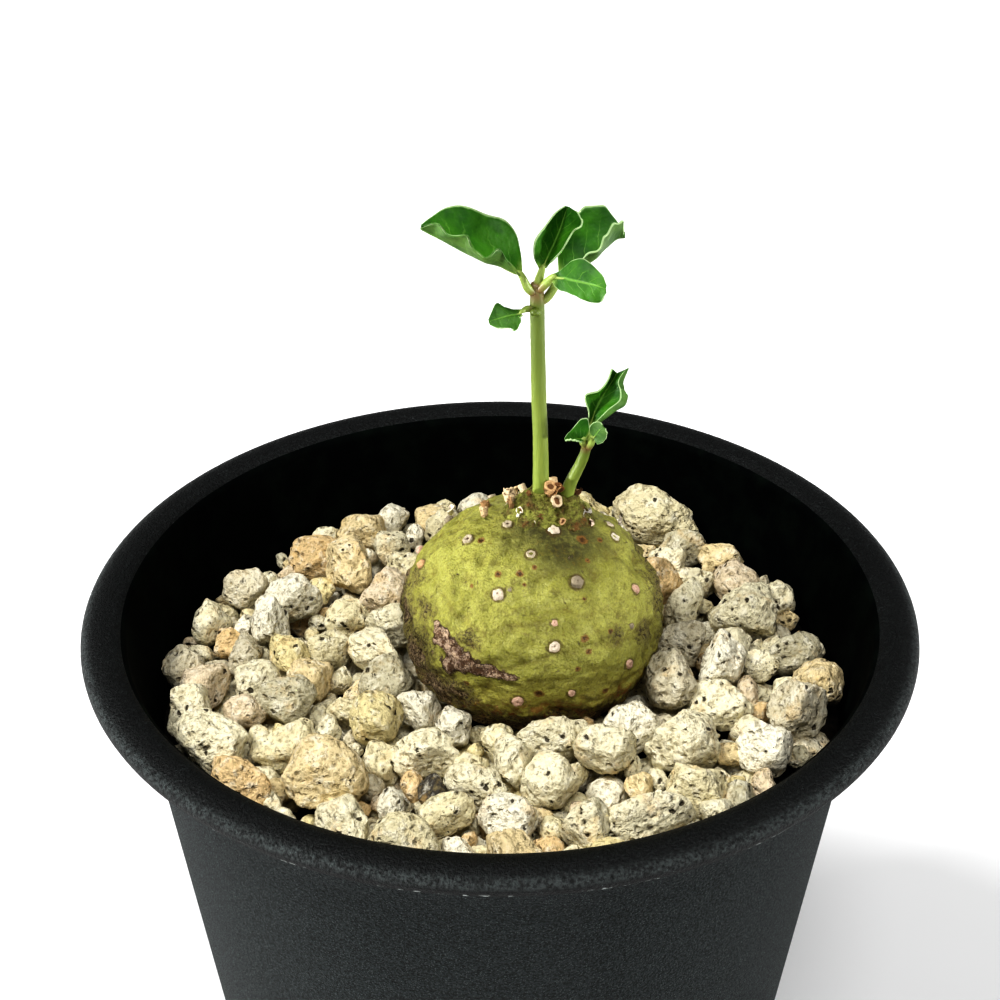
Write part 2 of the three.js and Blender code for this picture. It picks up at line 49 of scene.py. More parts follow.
POT_HEIGHT = 80.0
RIM_RADIUS = 44.97
LIP_HALF_WIDTH = 2.42
LIP_HALF_HEIGHT = 1.45
SHOULDER_RADIUS = 38.9
SHOULDER_HEIGHT = 70.0
FOOT_RADIUS = 29.8
FOOT_WIDTH = 2.4
FOOT_HEIGHT = 1.6
WALL = 1.1
BASE = 1.6
DRAIN_RADIUS = 3.5
DRAIN_CIRCLE = 17.0
DRAINS = 6
POT_SIDES = 192

POT_BLACK = "070909"
POT_GREY = "212727"
LIP_BLACK = "040505"
INSIDE_SHADE_BLACK = "030505"
WALL_GRAINS = 3800.0
LIP_GRAINS = 3400.0

# Where the lip's finish, its painted sheen band, painted shade and painted glints change: heights, and for
# the sheen band's outer side a radius, all in metres.
LIP_STARTS = (0.0755, 0.0772)
LIP_SMOOTH = (0.0778, 0.0786)
LIP_UNDER_SHADE = (0.0788, 0.0781)
SHEEN_FOOT = (0.0785, 0.0791)
SHEEN_TOP = (0.0799, 0.0794)
SHEEN_OUT = (0.0432, 0.0442)
GLINTS_FOOT = (0.0772, 0.0776)
GLINTS_TOP = (0.0783, 0.0779)


def colour(code):
    """A web colour as the linear red, green, blue and alpha that the shaders use."""
    parts = [int(code[i:i + 2], 16) / 255 for i in (0, 2, 4)]
    return [p / 12.92 if p <= 0.04045 else ((p + 0.055) / 1.055) ** 2.4 for p in parts] + [1]


def node(tree, kind, inputs={}, **options):
    """Adds a shader node, sets its options, and fills or links its inputs."""
    made = tree.nodes.new("ShaderNode" + kind)
    for name, value in options.items():
        setattr(made, name, value)
    for name, value in inputs.items():
        if isinstance(value, bpy.types.NodeSocket):
            tree.links.new(value, made.inputs[name])
        else:
            made.inputs[name].default_value = value
    return made


def maths(tree, operation, first, second=0.0, third=0.0):
    return node(tree, "Math", {0: first, 1: second, 2: third}, operation=operation).outputs[0]


def times(tree, first, *others):
    """Several values multiplied together."""
    for other in others:
        first = maths(tree, "MULTIPLY", first, other)
    return first


def plus(tree, first, second, share=1.0):
    """One value with a share of another added to it."""
    return maths(tree, "MULTIPLY_ADD", second, share, first)


def off_centre(tree, value, centre=0.5):
    """How far a value is from a centre, either way."""
    return maths(tree, "ABSOLUTE", maths(tree, "SUBTRACT", value, centre))


def fade(tree, value, start, end, low=0.0, high=1.0):
    """Goes softly from low to high as the value goes from start to end."""
    ramp = node(tree, "MapRange", {"Value": value, "From Min": start, "From Max": end,
                                   "To Min": low, "To Max": high}, interpolation_type="SMOOTHSTEP")
    return ramp.outputs["Result"]


def tint(tree, share, first, second):
    """The first colour with a share of the second laid over it."""
    return node(tree, "Mix", {0: share, 6: first, 7: second}, data_type="RGBA").outputs[2]


def layered(tree, surface, *layers):
    """Lays tones over a surface, each one a value, its start and end, a strength and a colour."""
    for value, start, end, strength, code in layers:
        surface = tint(tree, fade(tree, value, start, end, 0.0, strength), surface, colour(code))
    return surface


def clouds(tree, place, size, detail=2.0, rough=0.5):
    """Noise with lumps of the given size in millimetres."""
    return node(tree, "TexNoise", {"Vector": place, "Scale": 1000 / size, "Detail": detail,
                                   "Roughness": rough}).outputs[0]


def raised(tree, height, depth, under=None):
    """A surface normal for a relief of the given depth in millimetres."""
    bump = node(tree, "Bump", {"Height": height, "Distance": depth / 1000, "Strength": 1.0})
    if under:
        tree.links.new(under, bump.inputs["Normal"])
    return bump.outputs["Normal"]


def mark(tree, name, output="Fac"):
    """What the mesh carries on its points under this name."""
    return node(tree, "Attribute", attribute_name=name).outputs[output]


def height_in(tree, place):
    return node(tree, "SeparateXYZ", {0: place}).outputs["Z"]


def finish(name, **constants):
    """Starts a material; returns it with its node tree and its place on the piece."""
    material = bpy.data.materials.new(name)
    material.use_nodes = True
    tree = material.node_tree
    for socket, value in constants.items():
        tree.nodes["Principled BSDF"].inputs[socket.replace("_", " ")].default_value = value
    return material, tree, node(tree, "TexCoord").outputs["Object"]


def dressed(material, base, normal, roughness=None):
    """Leads a material's colour, relief and, where it varies, roughness to its shader."""
    tree = material.node_tree
    for socket, value in (("Base Color", base), ("Normal", normal), ("Roughness", roughness)):
        if value:
            tree.links.new(value, tree.nodes["Principled BSDF"].inputs[socket])
    return material


def effect(name, inputs, outputs):
    """Starts a shader node group; returns it with its inner input and output sockets."""
    group = bpy.data.node_groups.new(name, "ShaderNodeTree")
    for label, kind in inputs.items():
        group.interface.new_socket(label, in_out="INPUT", socket_type="NodeSocket" + kind)
    for label, kind in outputs.items():
        group.interface.new_socket(label, in_out="OUTPUT", socket_type="NodeSocket" + kind)
    return group, group.nodes.new("NodeGroupInput").outputs, group.nodes.new("NodeGroupOutput").inputs


# Fine grain: a sanded or cellular surface, in grains of a given size.
fine_grain, given, result = effect("fine grain", {"Place": "Vector", "Grains per metre": "Float"},
                                   {"Grain": "Float", "Speckle": "Float"})
grains = node(fine_grain, "TexNoise", {"Vector": given["Place"], "Scale": given["Grains per metre"],
                                       "Detail": 3.0, "Roughness": 0.65})
specks = node(fine_grain, "TexVoronoi", {"Vector": given["Place"], "Scale": given["Grains per metre"],
                                         "Randomness": 1.0})
fine_grain.links.new(grains.outputs[0], result["Grain"])
fine_grain.links.new(fade(fine_grain, specks.outputs["Distance"], 0.3, 0.12), result["Speckle"])


def grain_on(tree, place, per_metre):
    return node(tree, "Group", {"Place": place, "Grains per metre": per_metre}, node_tree=fine_grain).outputs


def pot_plastic():
    material, tree, place = finish("pot plastic", Specular_IOR_Level=0.22)
    height = height_in(tree, place)
    on_lip = fade(tree, height, *LIP_STARTS)
    sand = grain_on(tree, place, WALL_GRAINS)
    skin = grain_on(tree, place, LIP_GRAINS)
    wall = tint(tree, fade(tree, sand["Grain"], 0.4, 0.6), colour(POT_BLACK), colour(POT_GREY))
    wall = tint(tree, times(tree, sand["Speckle"], 0.5), wall, colour("5d6666"))
    lip = tint(tree, fade(tree, skin["Grain"], 0.45, 0.7), colour(LIP_BLACK), colour("191d1c"))
    # A pale band along the lip's round outer edge is painted reflection, and its under side is darkened to
    # black as painted shade.
    off_axis = node(tree, "VectorMath", {0: place, 1: (1.0, 1.0, 0.0)}, operation="MULTIPLY").outputs[0]
    off_axis = node(tree, "VectorMath", {0: off_axis}, operation="LENGTH").outputs["Value"]
    painted_sheen = times(tree, fade(tree, height, *SHEEN_FOOT), fade(tree, height, *SHEEN_TOP),
                 fade(tree, off_axis, *SHEEN_OUT), fade(tree, clouds(tree, place, 0.45, 4.0, 0.7), 0.4, 0.62))
    lip = tint(tree, times(tree, painted_sheen, 0.45), lip, colour("4a5150"))
    lip = tint(tree, fade(tree, height, *LIP_UNDER_SHADE), lip, colour("020303"))
    # Small pale flecks along the lip's lower edge are painted glints.
    painted_glints = times(tree, fade(tree, clouds(tree, place, 1.0, 4.0, 0.7), 0.52, 0.58),
                  fade(tree, height, *GLINTS_TOP), fade(tree, height, *GLINTS_FOOT),
                  fade(tree, clouds(tree, place, 7.0, 2.0), 0.48, 0.58))
    lip = tint(tree, times(tree, painted_glints, 0.8), lip, colour("b9bfbc"))
    specks = times(tree, skin["Speckle"], fade(tree, clouds(tree, place, 2.5, 3.0, 0.7), 0.5, 0.65))
    lip = tint(tree, times(tree, specks, 0.35), lip, colour("5c6464"))
    worn = times(tree, on_lip, fade(tree, height, *LIP_SMOOTH))
    reliefs = {0: on_lip, 4: raised(tree, sand["Grain"], 0.32), 5: raised(tree, skin["Grain"], 0.3)}
    normal = node(tree, "Mix", reliefs, data_type="VECTOR").outputs[1]
    return dressed(material, tint(tree, on_lip, wall, lip), normal, fade(tree, worn, 0.0, 1.0, 0.78, 0.5))


def shaded_inside_plastic():
    material, tree, place = finish("pot inside shade", Roughness=0.8, Specular_IOR_Level=0.03)
    # The pot's black made darker still, as painted shade for the dim inside.
    haze = clouds(tree, place, 4.0, 4.0, 0.6)
    surface = tint(tree, fade(tree, haze, 0.4, 0.7), colour(INSIDE_SHADE_BLACK), colour("0a100c"))
    return dressed(material, surface, raised(tree, haze, 0.1))


def in_place(name, shape, material, slot, *stands_for):
    """Turns a bmesh in millimetres into a smooth piece of the plant, in metres."""
    bmesh.ops.scale(shape, vec=(0.001, 0.001, 0.001), verts=shape.verts)
    mesh = bpy.data.meshes.new(name)
    shape.to_mesh(mesh)
    shape.free()
    mesh.materials.append(material)
    mesh.shade_smooth()
    piece = bpy.data.objects.new(name, mesh)
    bpy.context.scene.collection.objects.link(piece)
    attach(piece, "root")
    if stands_for:
        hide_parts(*stands_for)
    return piece


def turned(shape, profile, sides):
    """Spins a line of (radius, height) points into a round body; returns its points."""
    line = [shape.verts.new((radius, 0, height)) for radius, height in profile]
    edges = [shape.edges.new(pair) for pair in zip(line, line[1:])]
    before = set(shape.verts) - set(line)
    bmesh.ops.spin(shape, geom=line + edges, axis=(0, 0, 1), cent=(0, 0, 0), dvec=(0, 0, 0),
                   angle=2 * math.pi, steps=sides, use_merge=True, use_duplicate=False)
    return [point for point in shape.verts if point not in before]


def tidied(shape, close=0.0005):
    """Closes the seams and turns every face outwards."""
    bmesh.ops.remove_doubles(shape, verts=shape.verts, dist=close)
    bmesh.ops.recalc_face_normals(shape, faces=shape.faces)
    shape.normal_update()


def inner_radius(height):
    """The inside of the tapered wall at this height."""
    foot = FOOT_RADIUS - WALL
    rise = (height - FOOT_HEIGHT - BASE) / (SHOULDER_HEIGHT - FOOT_HEIGHT - BASE)
    return foot + rise * (SHOULDER_RADIUS - WALL - foot)


def lip_point(degrees):
    """The point on the lip's oval at this angle, from its outermost point upwards."""
    angle = math.radians(degrees)
    return (RIM_RADIUS - LIP_HALF_WIDTH * (1 - math.cos(angle)),
            POT_HEIGHT - LIP_HALF_HEIGHT * (1 - math.sin(angle)))


def flare(start, bend, end, steps=10):
    """The even curve between the shoulder and the lip."""
    points = []
    for i in range(steps + 1):
        t = i / steps
        points.append(tuple((1 - t) ** 2 * a + 2 * t * (1 - t) * b + t * t * c
                            for a, b, c in zip(start, bend, end)))
    return points


inside_foot = FOOT_RADIUS - FOOT_WIDTH
pot_outside = [(inside_foot - 0.4, FOOT_HEIGHT), (inside_foot, 0.25), (inside_foot + 0.25, 0.0),
               (FOOT_RADIUS - 0.4, 0.0), (FOOT_RADIUS - 0.1, 0.15), (FOOT_RADIUS, 0.5),
               (FOOT_RADIUS + 0.5 * (SHOULDER_RADIUS - FOOT_RADIUS), 0.5 * (SHOULDER_HEIGHT + 0.5)),
               *flare((SHOULDER_RADIUS, SHOULDER_HEIGHT), (SHOULDER_RADIUS + 0.9, SHOULDER_HEIGHT + 4.6),
                      lip_point(-112)),
               *[lip_point(degrees) for degrees in range(-100, 180, 10)],
               *flare(lip_point(180), (SHOULDER_RADIUS + 0.5, SHOULDER_HEIGHT + 4.6),
                      (SHOULDER_RADIUS - WALL, SHOULDER_HEIGHT)),
               (inner_radius(36), 36.0),
               (FOOT_RADIUS - WALL, FOOT_HEIGHT + BASE)]
pot_shape = bmesh.new()
turned(pot_shape, pot_outside, POT_SIDES)

for height, radius in ((FOOT_HEIGHT, inside_foot - 0.4), (FOOT_HEIGHT + BASE, FOOT_RADIUS - WALL)):
    outline = bmesh.ops.create_circle(pot_shape, segments=POT_SIDES, radius=radius,
                                      matrix=Matrix.Translation((0, 0, height)))["verts"]
    for i in range(DRAINS):
        turn = Matrix.Rotation(2 * math.pi * i / DRAINS, 4, "Z")
        spot = turn @ Matrix.Translation((DRAIN_CIRCLE, 0, height))
        outline += bmesh.ops.create_circle(pot_shape, segments=32, radius=DRAIN_RADIUS, matrix=spot)["verts"]
    edges = list({edge for v in outline for edge in v.link_edges})
    bmesh.ops.triangle_fill(pot_shape, edges=edges, use_beauty=True)
bmesh.ops.remove_doubles(pot_shape, verts=pot_shape.verts, dist=0.002)
drain_edges = [edge for edge in pot_shape.edges if edge.is_boundary]
bmesh.ops.bridge_loops(pot_shape, edges=drain_edges)
tidied(pot_shape)
pot = in_place("nursery_pot", pot_shape, pot_plastic(), "pot_plastic", "pot")
pot.data.materials.append(shaded_inside_plastic())
# Faces that look inwards, and the base's upper face, have the inside finish: the same plastic darkened as
# painted shade.
for face in pot.data.polygons:
    out = face.center.xy.normalized()
    if face.center.z > 0.003 and (face.normal.xy.dot(out) < -0.55 or face.center.z < 0.004):
        face.material_index = 1


# ---- The potting soil -------------------------------------------------------
# A dark, crumbly mix of peat and grit that fills the pot up to the pumice. Only its
# foot shows, through the drain holes.

def soil_mix():
    material, tree, place = finish("potting soil", Roughness=0.95, Specular_IOR_Level=0.2)
    crumbs = clouds(tree, place, 1.6, 4.0, 0.6)
    grit = grain_on(tree, place, 700.0)["Speckle"]
    ground = tint(tree, fade(tree, crumbs, 0.3, 0.7), colour("1d1611"), colour("4a3828"))
    ground = tint(tree, times(tree, grit, 0.6), ground, colour("a08f72"))
    return dressed(material, ground, raised(tree, crumbs, 1.2))


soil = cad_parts["potting_soil"]
soil.data.materials.clear()
soil.data.materials.append(soil_mix())


# ---- The pumice topping -----------------------------------------------------
# Sieved pumice, poured on by hand: rounded lumps from two to nine millimetres, cream,
# white, tan and a few grey, full of gas pores. They lie on a bed coloured near black as
# painted shade in the gaps between them.

BED_TOP = 69.3
BED_FOOT = 61.3
SLOPE_X = 0.02
SLOPE_Y = -0.015
FILL_RADII = (2.75, 2.45, 2.1, 1.75)
FILL_TRIES = 400
FILL_PACKING = 0.92
GAP_RADII = (1.4, 1.1, 0.85)
GAP_TRIES = 700
GAP_PACKING = 0.8
LOWER_STONES = 210
LOWER_SINK = 1.8
BED_SINK = 3.0
SETTLE_STEPS = 90
LUMP_SIZE = 2.85
GRIT_SIZE = 1.65
CHIP_SIZE = 1.6
STONE_SEED = 2026
CAUDEX_CENTRE = Vector((3.3, 0.5, 78.0))
CAUDEX_RADIUS = 14.15
CAUDEX_HALF_HEIGHT = 12.4
GAP = 0.3

PUMICE = {"cream": "eee6c6", "white": "f5efd8", "ivory": "e8deb8", "tan": "e8d5a8", "orange": "e4c898",
          "yellow": "e9dba8", "peach": "e3d2b4", "beige": "d8cfb4", "grey": "c9c2a6", "dark": "4a463f"}

# Each listed stone: x, y, half length, half width, turn in degrees, tone.
LAID_STONES = [
    (-16.1, 27.5, 2.8, 2.5, 20, "tan"), (-21.8, 22.7, 3, 2.6, -30, "orange"),
    (-30.7, 5.8, 2, 2.2, 0, "orange"), (-18, -20.7, 4.1, 3.9, 40, "tan"),
    (-12.9, -10.9, 2.9, 2.6, 60, "yellow"), (14.2, -20.7, 1.5, 1.5, 0, "tan"),
    (34.4, -4.1, 2.7, 2.6, 30, "tan"), (25.6, 20.9, 2.7, 2.1, 10, "tan"),
    (-27.3, -8, 2.1, 1.8, 0, "peach"), (-6.7, -22.4, 1.5, 2, 10, "dark"),
    (19, 28.3, 5.4, 2.8, -28, "ivory"), (21.3, 23.6, 2.8, 2.1, -10, "grey"),
    (28, 9.2, 4, 3.6, 40, "cream"), (19.2, -15.5, 4.1, 2.9, 15, "cream"),
    (19.7, -22.1, 3.4, 2.4, -20, "ivory"), (5.2, -13.9, 3.4, 2.6, 10, "cream"),
    (5.5, -21.6, 3, 2.7, 0, "cream"), (13, -12.5, 2.9, 2.7, 50, "white"),
    (0.7, -27.1, 3, 2.6, 0, "white"), (-29.9, -14.5, 4.1, 2.9, -40, "cream"),
    (-24.3, 12.4, 3.2, 3, 0, "white"), (-35.2, 1.2, 2.3, 2.4, 0, "beige"),
    (-8.9, -8.4, 2.4, 2.5, 70, "white"), (-4.8, -11.9, 2.1, 2.4, 0, "white"),
    (-7.3, -16.4, 3.6, 2.2, 5, "cream"), (-17.6, 9.8, 2.6, 2.8, 50, "ivory"),
    (-20.8, -2.6, 2.2, 2.8, -20, "tan"), (-26.7, -3, 2.4, 3, 15, "cream"),
    (-21.9, -14.9, 3.4, 2, 25, "ivory"), (23.2, -8.5, 3.3, 2.5, 0, "cream"),
    (32.7, 1.8, 2.9, 2, 15, "grey"), (31.4, -10.2, 3.1, 2.7, 60, "beige"),
    (27.6, -15.5, 2.6, 2.5, 0, "white"), (20.7, 3.7, 2.7, 2.7, 0, "beige"),
    (25.8, 2.8, 2.2, 1.8, 10, "cream"), (-2.8, 32.4, 2.4, 2.2, 0, "white"),
    (-29.3, 15.4, 2.3, 2.7, 30, "beige"), (14.6, -27.2, 4.3, 2.2, 5, "cream"),
    (-13.2, 24.2, 2.4, 2, 60, "cream"), (-8.2, 31.5, 2.2, 2, 0, "tan"), (-33, 9.2, 2.4, 2, 70, "cream"),
]
LOOSE_TONES = ("cream", "white", "ivory", "cream", "tan", "white", "beige", "cream", "ivory", "orange",
               "cream", "grey", "ivory", "yellow", "cream", "peach")


def draws_from(seed):
    """Repeatable draws between 0 and 1."""
    state = seed * 2654435761 % 2 ** 32
    while True:
        state = (state * 1664525 + 1013904223) % 2 ** 32
        yield state / 2 ** 32


def joined(whole, part):
    """Moves one shape into another, with its faces and marks."""
    passed = bpy.data.meshes.new("passed")
    part.to_mesh(passed)
    part.free()
    whole.from_mesh(passed)
    bpy.data.meshes.remove(passed)


def lump_at(x, y, long, wide, turn, tone):
    return {"x": x, "y": y, "long": long, "wide": wide, "turn": turn, "tone": tone,
            "mean": (long + wide) / 2}


def laid_stones():
    """The listed stones, then the loose ones that fit between them, from coarse to fine."""
    draw = draws_from(STONE_SEED)
    stones = [lump_at(*stone) for stone in LAID_STONES]
    wall = inner_radius(BED_TOP) - GAP
    for radius in FILL_RADII + GAP_RADII:
        coarse = radius in FILL_RADII
        packing = FILL_PACKING if coarse else GAP_PACKING
        for _ in range(FILL_TRIES if coarse else GAP_TRIES):
            x = wall * (2 * next(draw) - 1)
            y = wall * (2 * next(draw) - 1)
            long = radius * (0.95 + 0.5 * next(draw))
            wide = radius * (0.72 + 0.28 * next(draw))
            turn = 180 * next(draw)
            lump = lump_at(x, y, long, wide, turn, LOOSE_TONES[len(stones) * 7 % len(LOOSE_TONES)])
            off_x = x - CAUDEX_CENTRE.x
            off_y = y - CAUDEX_CENTRE.y
            mean = lump["mean"]
            neck = CAUDEX_RADIUS * 0.8 + mean
            if (x * x + y * y < (wall - long) ** 2 and off_x * off_x + off_y * off_y > neck * neck
                    and all((x - s["x"]) ** 2 + (y - s["y"]) ** 2 > (packing * (mean + s["mean"])) ** 2
                            for s in stones)):
                stones.append(lump)
    return stones


def bed_height(x, y):
    return BED_TOP + SLOPE_X * x + SLOPE_Y * y


def lower_course():
    """Stones under the upper ones, which show in the hollows between them."""
    draw = draws_from(STONE_SEED + 1)
    wall = inner_radius(BED_TOP) - GAP
    stones = []
    for order in range(LOWER_STONES):
        far_out = (wall - 2.3) * math.sqrt(next(draw))
        angle = 2 * math.pi * next(draw)
        size = 1.4 + 0.9 * next(draw)
        x, y = far_out * math.cos(angle), far_out * math.sin(angle)
        tone = LOOSE_TONES[order * 5 % len(LOOSE_TONES)]
        stones.append({**lump_at(x, y, size * 1.1, size, 180 * next(draw), tone), "mean": size})
    return stones


def settle(stones, upper):
    """Lets the stones push one another apart until each has room; the upper ones hardly move."""
    spots = np.array([(s["x"], s["y"], s["z"]) for s in stones])
    sizes = np.array([s["mean"] * 0.99 for s in stones])
    ease = np.ones(len(stones))
    ease[:upper] = 0.4
    ease[:len(LAID_STONES)] = 0.12
    middle = np.array(CAUDEX_CENTRE)
    axes = np.stack([CAUDEX_RADIUS + sizes, CAUDEX_RADIUS + sizes, CAUDEX_HALF_HEIGHT + sizes], 1)
    for _ in range(SETTLE_STEPS):
        apart = spots[:, None] - spots[None]
        reach = np.linalg.norm(apart, axis=2) + np.eye(len(stones)) * 1e6
        squeeze = np.maximum(0, sizes[:, None] + sizes[None] - reach) / reach
        spots += 0.45 * ease[:, None] * (apart * squeeze[..., None]).sum(1)
        spots[upper:, 2] -= 0.03
        bed = bed_height(spots[:, 0], spots[:, 1]) - BED_SINK
        spots[:, 2] = np.maximum(spots[:, 2], bed + 0.6 * sizes)
        inside = np.linalg.norm((spots - middle) / axes, axis=1)
        spots = np.where(inside[:, None] < 1, middle + (spots - middle) / inside[:, None], spots)
        out = np.linalg.norm(spots[:, :2], axis=1)
        room = inner_radius(spots[:, 2]) - GAP - sizes
        spots[:, :2] *= np.minimum(1, room / out)[:, None]
    for stone, spot in zip(stones, spots):
        stone["x"], stone["y"], stone["z"] = spot


def on_ball(angle, height):
    """The point at this angle and height on a ball of radius 1."""
    ring = math.sqrt(1 - height * height)
    return Vector((ring * math.cos(angle), ring * math.sin(angle), height))


def add_stone(heap, stone, order, detail):
    """Adds a lump of pumice: a ball broken to soft flats, with dents and open gas pockets."""
    draw = draws_from(order + 101)
    count = 7 + int(5 * next(draw))
    flats = []
    for i in range(count):
        height = 1 - 2 * (i + 0.15 + 0.7 * next(draw)) / count
        angle = 2.4 * i + 1.2 * next(draw) + order
        flats.append((on_ball(angle, height), 0.6 + 0.3 * next(draw)))
    tall = stone["mean"] * (0.85 + 0.25 * next(draw))
    pockets = []
    for _ in range(2 + int(8 * next(draw))):
        height = 1.5 * next(draw) - 0.6
        angle = 2 * math.pi * next(draw)
        pockets.append((on_ball(angle, height), 0.05 + 0.12 * next(draw) ** 2, 0.05 + 0.07 * next(draw)))
    offset = Vector((order * 3.7, order * 1.3, order * 2.9))
    lump = bmesh.new()
    tone = lump.verts.layers.float_color.new("tone")
    pocket = lump.verts.layers.float.new("pocket")
    bmesh.ops.create_icosphere(lump, subdivisions=detail, radius=1)
    turn = math.radians(stone["turn"])
    shade = 0.9 + 0.16 * next(draw)
    base = [part * shade for part in colour(PUMICE[stone["tone"]])]
    for point in lump.verts:
        out = point.co.normalized()
        press = 1.0
        for face, depth in flats:
            facing = out.dot(face) / depth
            if facing > 0.75:
                press += facing ** 16
        swell = 1.2 * press ** (-1 / 16)
        for size, bumps in ((0.13, 1.5), (0.07, 3.6), (0.05, 7.0), (0.026, 15.0)):
            swell += size * noise.noise(out * bumps + offset)
        hollow = 0.0
        for spot, size, depth in pockets:
            away = (out - spot).length / size
            if away < 1.6:
                sunk = 1 / (1 + (away * 1.15) ** 6)
                swell -= depth * sunk
                hollow = max(hollow, sunk)
        x = out.x * swell * stone["long"]
        y = out.y * swell * stone["wide"]
        point.co = (stone["x"] + x * math.cos(turn) - y * math.sin(turn),
                    stone["y"] + x * math.sin(turn) + y * math.cos(turn), stone["z"] + out.z * swell * tall)
        point[tone] = base
        point[pocket] = hollow
    joined(heap, lump)


# Gas pores: small dark pits, slanted, of every size and thick only in places.
gas_pores, given, result = effect("gas pores", {"Place": "Vector", "Pores per metre": "Float"},
                                  {"Pits": "Float", "Dents": "Float"})
slant = node(gas_pores, "Mapping", {"Vector": given["Place"], "Rotation": (0.5, 0.3, 0.6),
                                    "Scale": (1.0, 0.65, 1.2)})
crooked = node(gas_pores, "TexNoise", {"Vector": given["Place"], "Scale": 2200.0, "Detail": 2.0})
crooked = node(gas_pores, "VectorMath", {0: crooked.outputs[1], 1: (0.0006, 0.0006, 0.0006),
                                         2: slant.outputs[0]}, operation="MULTIPLY_ADD")
bubbles = node(gas_pores, "TexVoronoi", {"Vector": crooked.outputs[0],
                                         "Scale": given["Pores per metre"]}).outputs
chance = node(gas_pores, "SeparateColor", {0: bubbles["Color"]}).outputs[0]
crowded = fade(gas_pores, clouds(gas_pores, given["Place"], 2.4, 1.0), 0.42, 0.6, 0.15, 1.0)
mouth = times(gas_pores, fade(gas_pores, chance, 0.5, 1.0, 0.0, 0.4), crowded)
depth = maths(gas_pores, "SUBTRACT", mouth, bubbles["Distance"])
dents = times(gas_pores, fade(gas_pores, bubbles["Distance"], 0.5, 0.1), fade(gas_pores, chance, 0.15, 0.6))
gas_pores.links.new(fade(gas_pores, depth, 0.0, 0.09), result["Pits"])
gas_pores.links.new(dents, result["Dents"])


def pores_in(tree, place, per_metre):
    return node(tree, "Group", {"Place": place, "Pores per metre": per_metre}, node_tree=gas_pores).outputs


def pumice_stone():
    material, tree, place = finish("pumice", Roughness=0.95, Specular_IOR_Level=0.2)
    small = pores_in(tree, place, 3300.0)["Pits"]
    large, dents = pores_in(tree, place, 1150.0).values()
    lumps = clouds(tree, place, 1.2, 5.0, 0.62)
    crust = clouds(tree, place, 0.5, 4.0, 0.65)
    stain = clouds(tree, place, 3.0, 4.0, 0.65)
    # These tones follow the relief: paler on its raised lumps and darker in its hollows and dents, painted
    # highlight and painted shade over the stone's own mottling and stains.
    rock = layered(tree, mark(tree, "tone", "Color"), (lumps, 0.5, 0.66, 0.5, "f8f3e0"),
                   (stain, 0.54, 0.7, 0.4, "dcb878"), (lumps, 0.45, 0.28, 0.5, "a3946a"),
                   (crust, 0.5, 0.32, 0.6, "857650"))
    rock = tint(tree, times(tree, dents, fade(tree, lumps, 0.62, 0.4, 0.05, 0.4)), rock, colour("8a7850"))
    shadow = maths(tree, "MAXIMUM", times(tree, small, 0.5), times(tree, large, 0.9))
    shadow = maths(tree, "MAXIMUM", shadow, fade(tree, mark(tree, "pocket"), 0.4, 1.0, 0.0, 0.6))
    rock = tint(tree, shadow, rock, colour("2e2517"))
    relief = plus(tree, lumps, crust, 0.75)
    for pits, depth in ((small, 0.2), (large, 0.4), (dents, 0.6)):
        relief = plus(tree, relief, pits, -depth)
    return dressed(material, rock, raised(tree, relief, 0.7))


def gap_shade_bed():
    material, tree, place = finish("pumice gap shade", Roughness=0.97, Specular_IOR_Level=0.15)
    # Near-black colours: painted shade in the gaps between the stones.
    crumbs = clouds(tree, place, 0.9, 4.0, 0.7)
    surface = tint(tree, fade(tree, crumbs, 0.35, 0.7), colour("080706"), colour("231c14"))
    return dressed(material, surface, raised(tree, crumbs, 0.8))


bed_shape = bmesh.new()
top_radius = inner_radius(BED_TOP) - GAP
turned(bed_shape, [(0, BED_FOOT), (inner_radius(BED_FOOT) - GAP, BED_FOOT)]
       + [(top_radius * (1 - i / 48), BED_TOP) for i in range(49)], 144)
tidied(bed_shape)
for point in bed_shape.verts:
    if point.co.z > BED_TOP - 1:
        crumb = noise.noise(point.co * 0.55) * 0.7 + noise.noise(point.co * 1.4) * 0.3
        point.co.z += bed_height(point.co.x, point.co.y) - BED_TOP - BED_SINK + crumb
in_place("pumice_bed", bed_shape, gap_shade_bed(), "pumice", "pumice_gravel")

stones = laid_stones()
upper = len(stones)
stones += lower_course()
for order, stone in enumerate(stones):
    lift = stone["mean"] * (0.5 if stone["mean"] > GRIT_SIZE else -0.1)
    stone["z"] = bed_height(stone["x"], stone["y"]) + (lift if order < upper else -LOWER_SINK)
settle(stones, upper)

pumice = pumice_stone()
heaps = {"pumice_lumps": (5, lambda order, size: order < upper and size > LUMP_SIZE),
         "pumice_pebbles": (4, lambda order, size: order < upper and CHIP_SIZE < size <= LUMP_SIZE),
         "pumice_chips": (3, lambda order, size: order < upper and size <= CHIP_SIZE),
         "pumice_lower_course": (3, lambda order, size: order >= upper)}
for name, (detail, belongs) in heaps.items():
    heap = bmesh.new()
    for order, stone in enumerate(stones):
        if belongs(order, stone["mean"]):
            add_stone(heap, stone, order, detail)
    in_place(name, heap, pumice, "pumice")


# ---- The caudex -------------------------------------------------------------
# The swollen stem base, a squat green ball of living tissue as wide as a walnut. Its
# skin is thin and mottled, folds across the front, and turns to netted grey cork where
# it meets the stones; a taproot holds it in the soil.

TAPROOT = [(1.8, 1.2, 43, 1.0), (2.4, 0.9, 52, 2.6), (3.0, 0.6, 61, 4.4), (3.3, 0.5, 69, 7.0)]
RIPPLE_SEED = 7

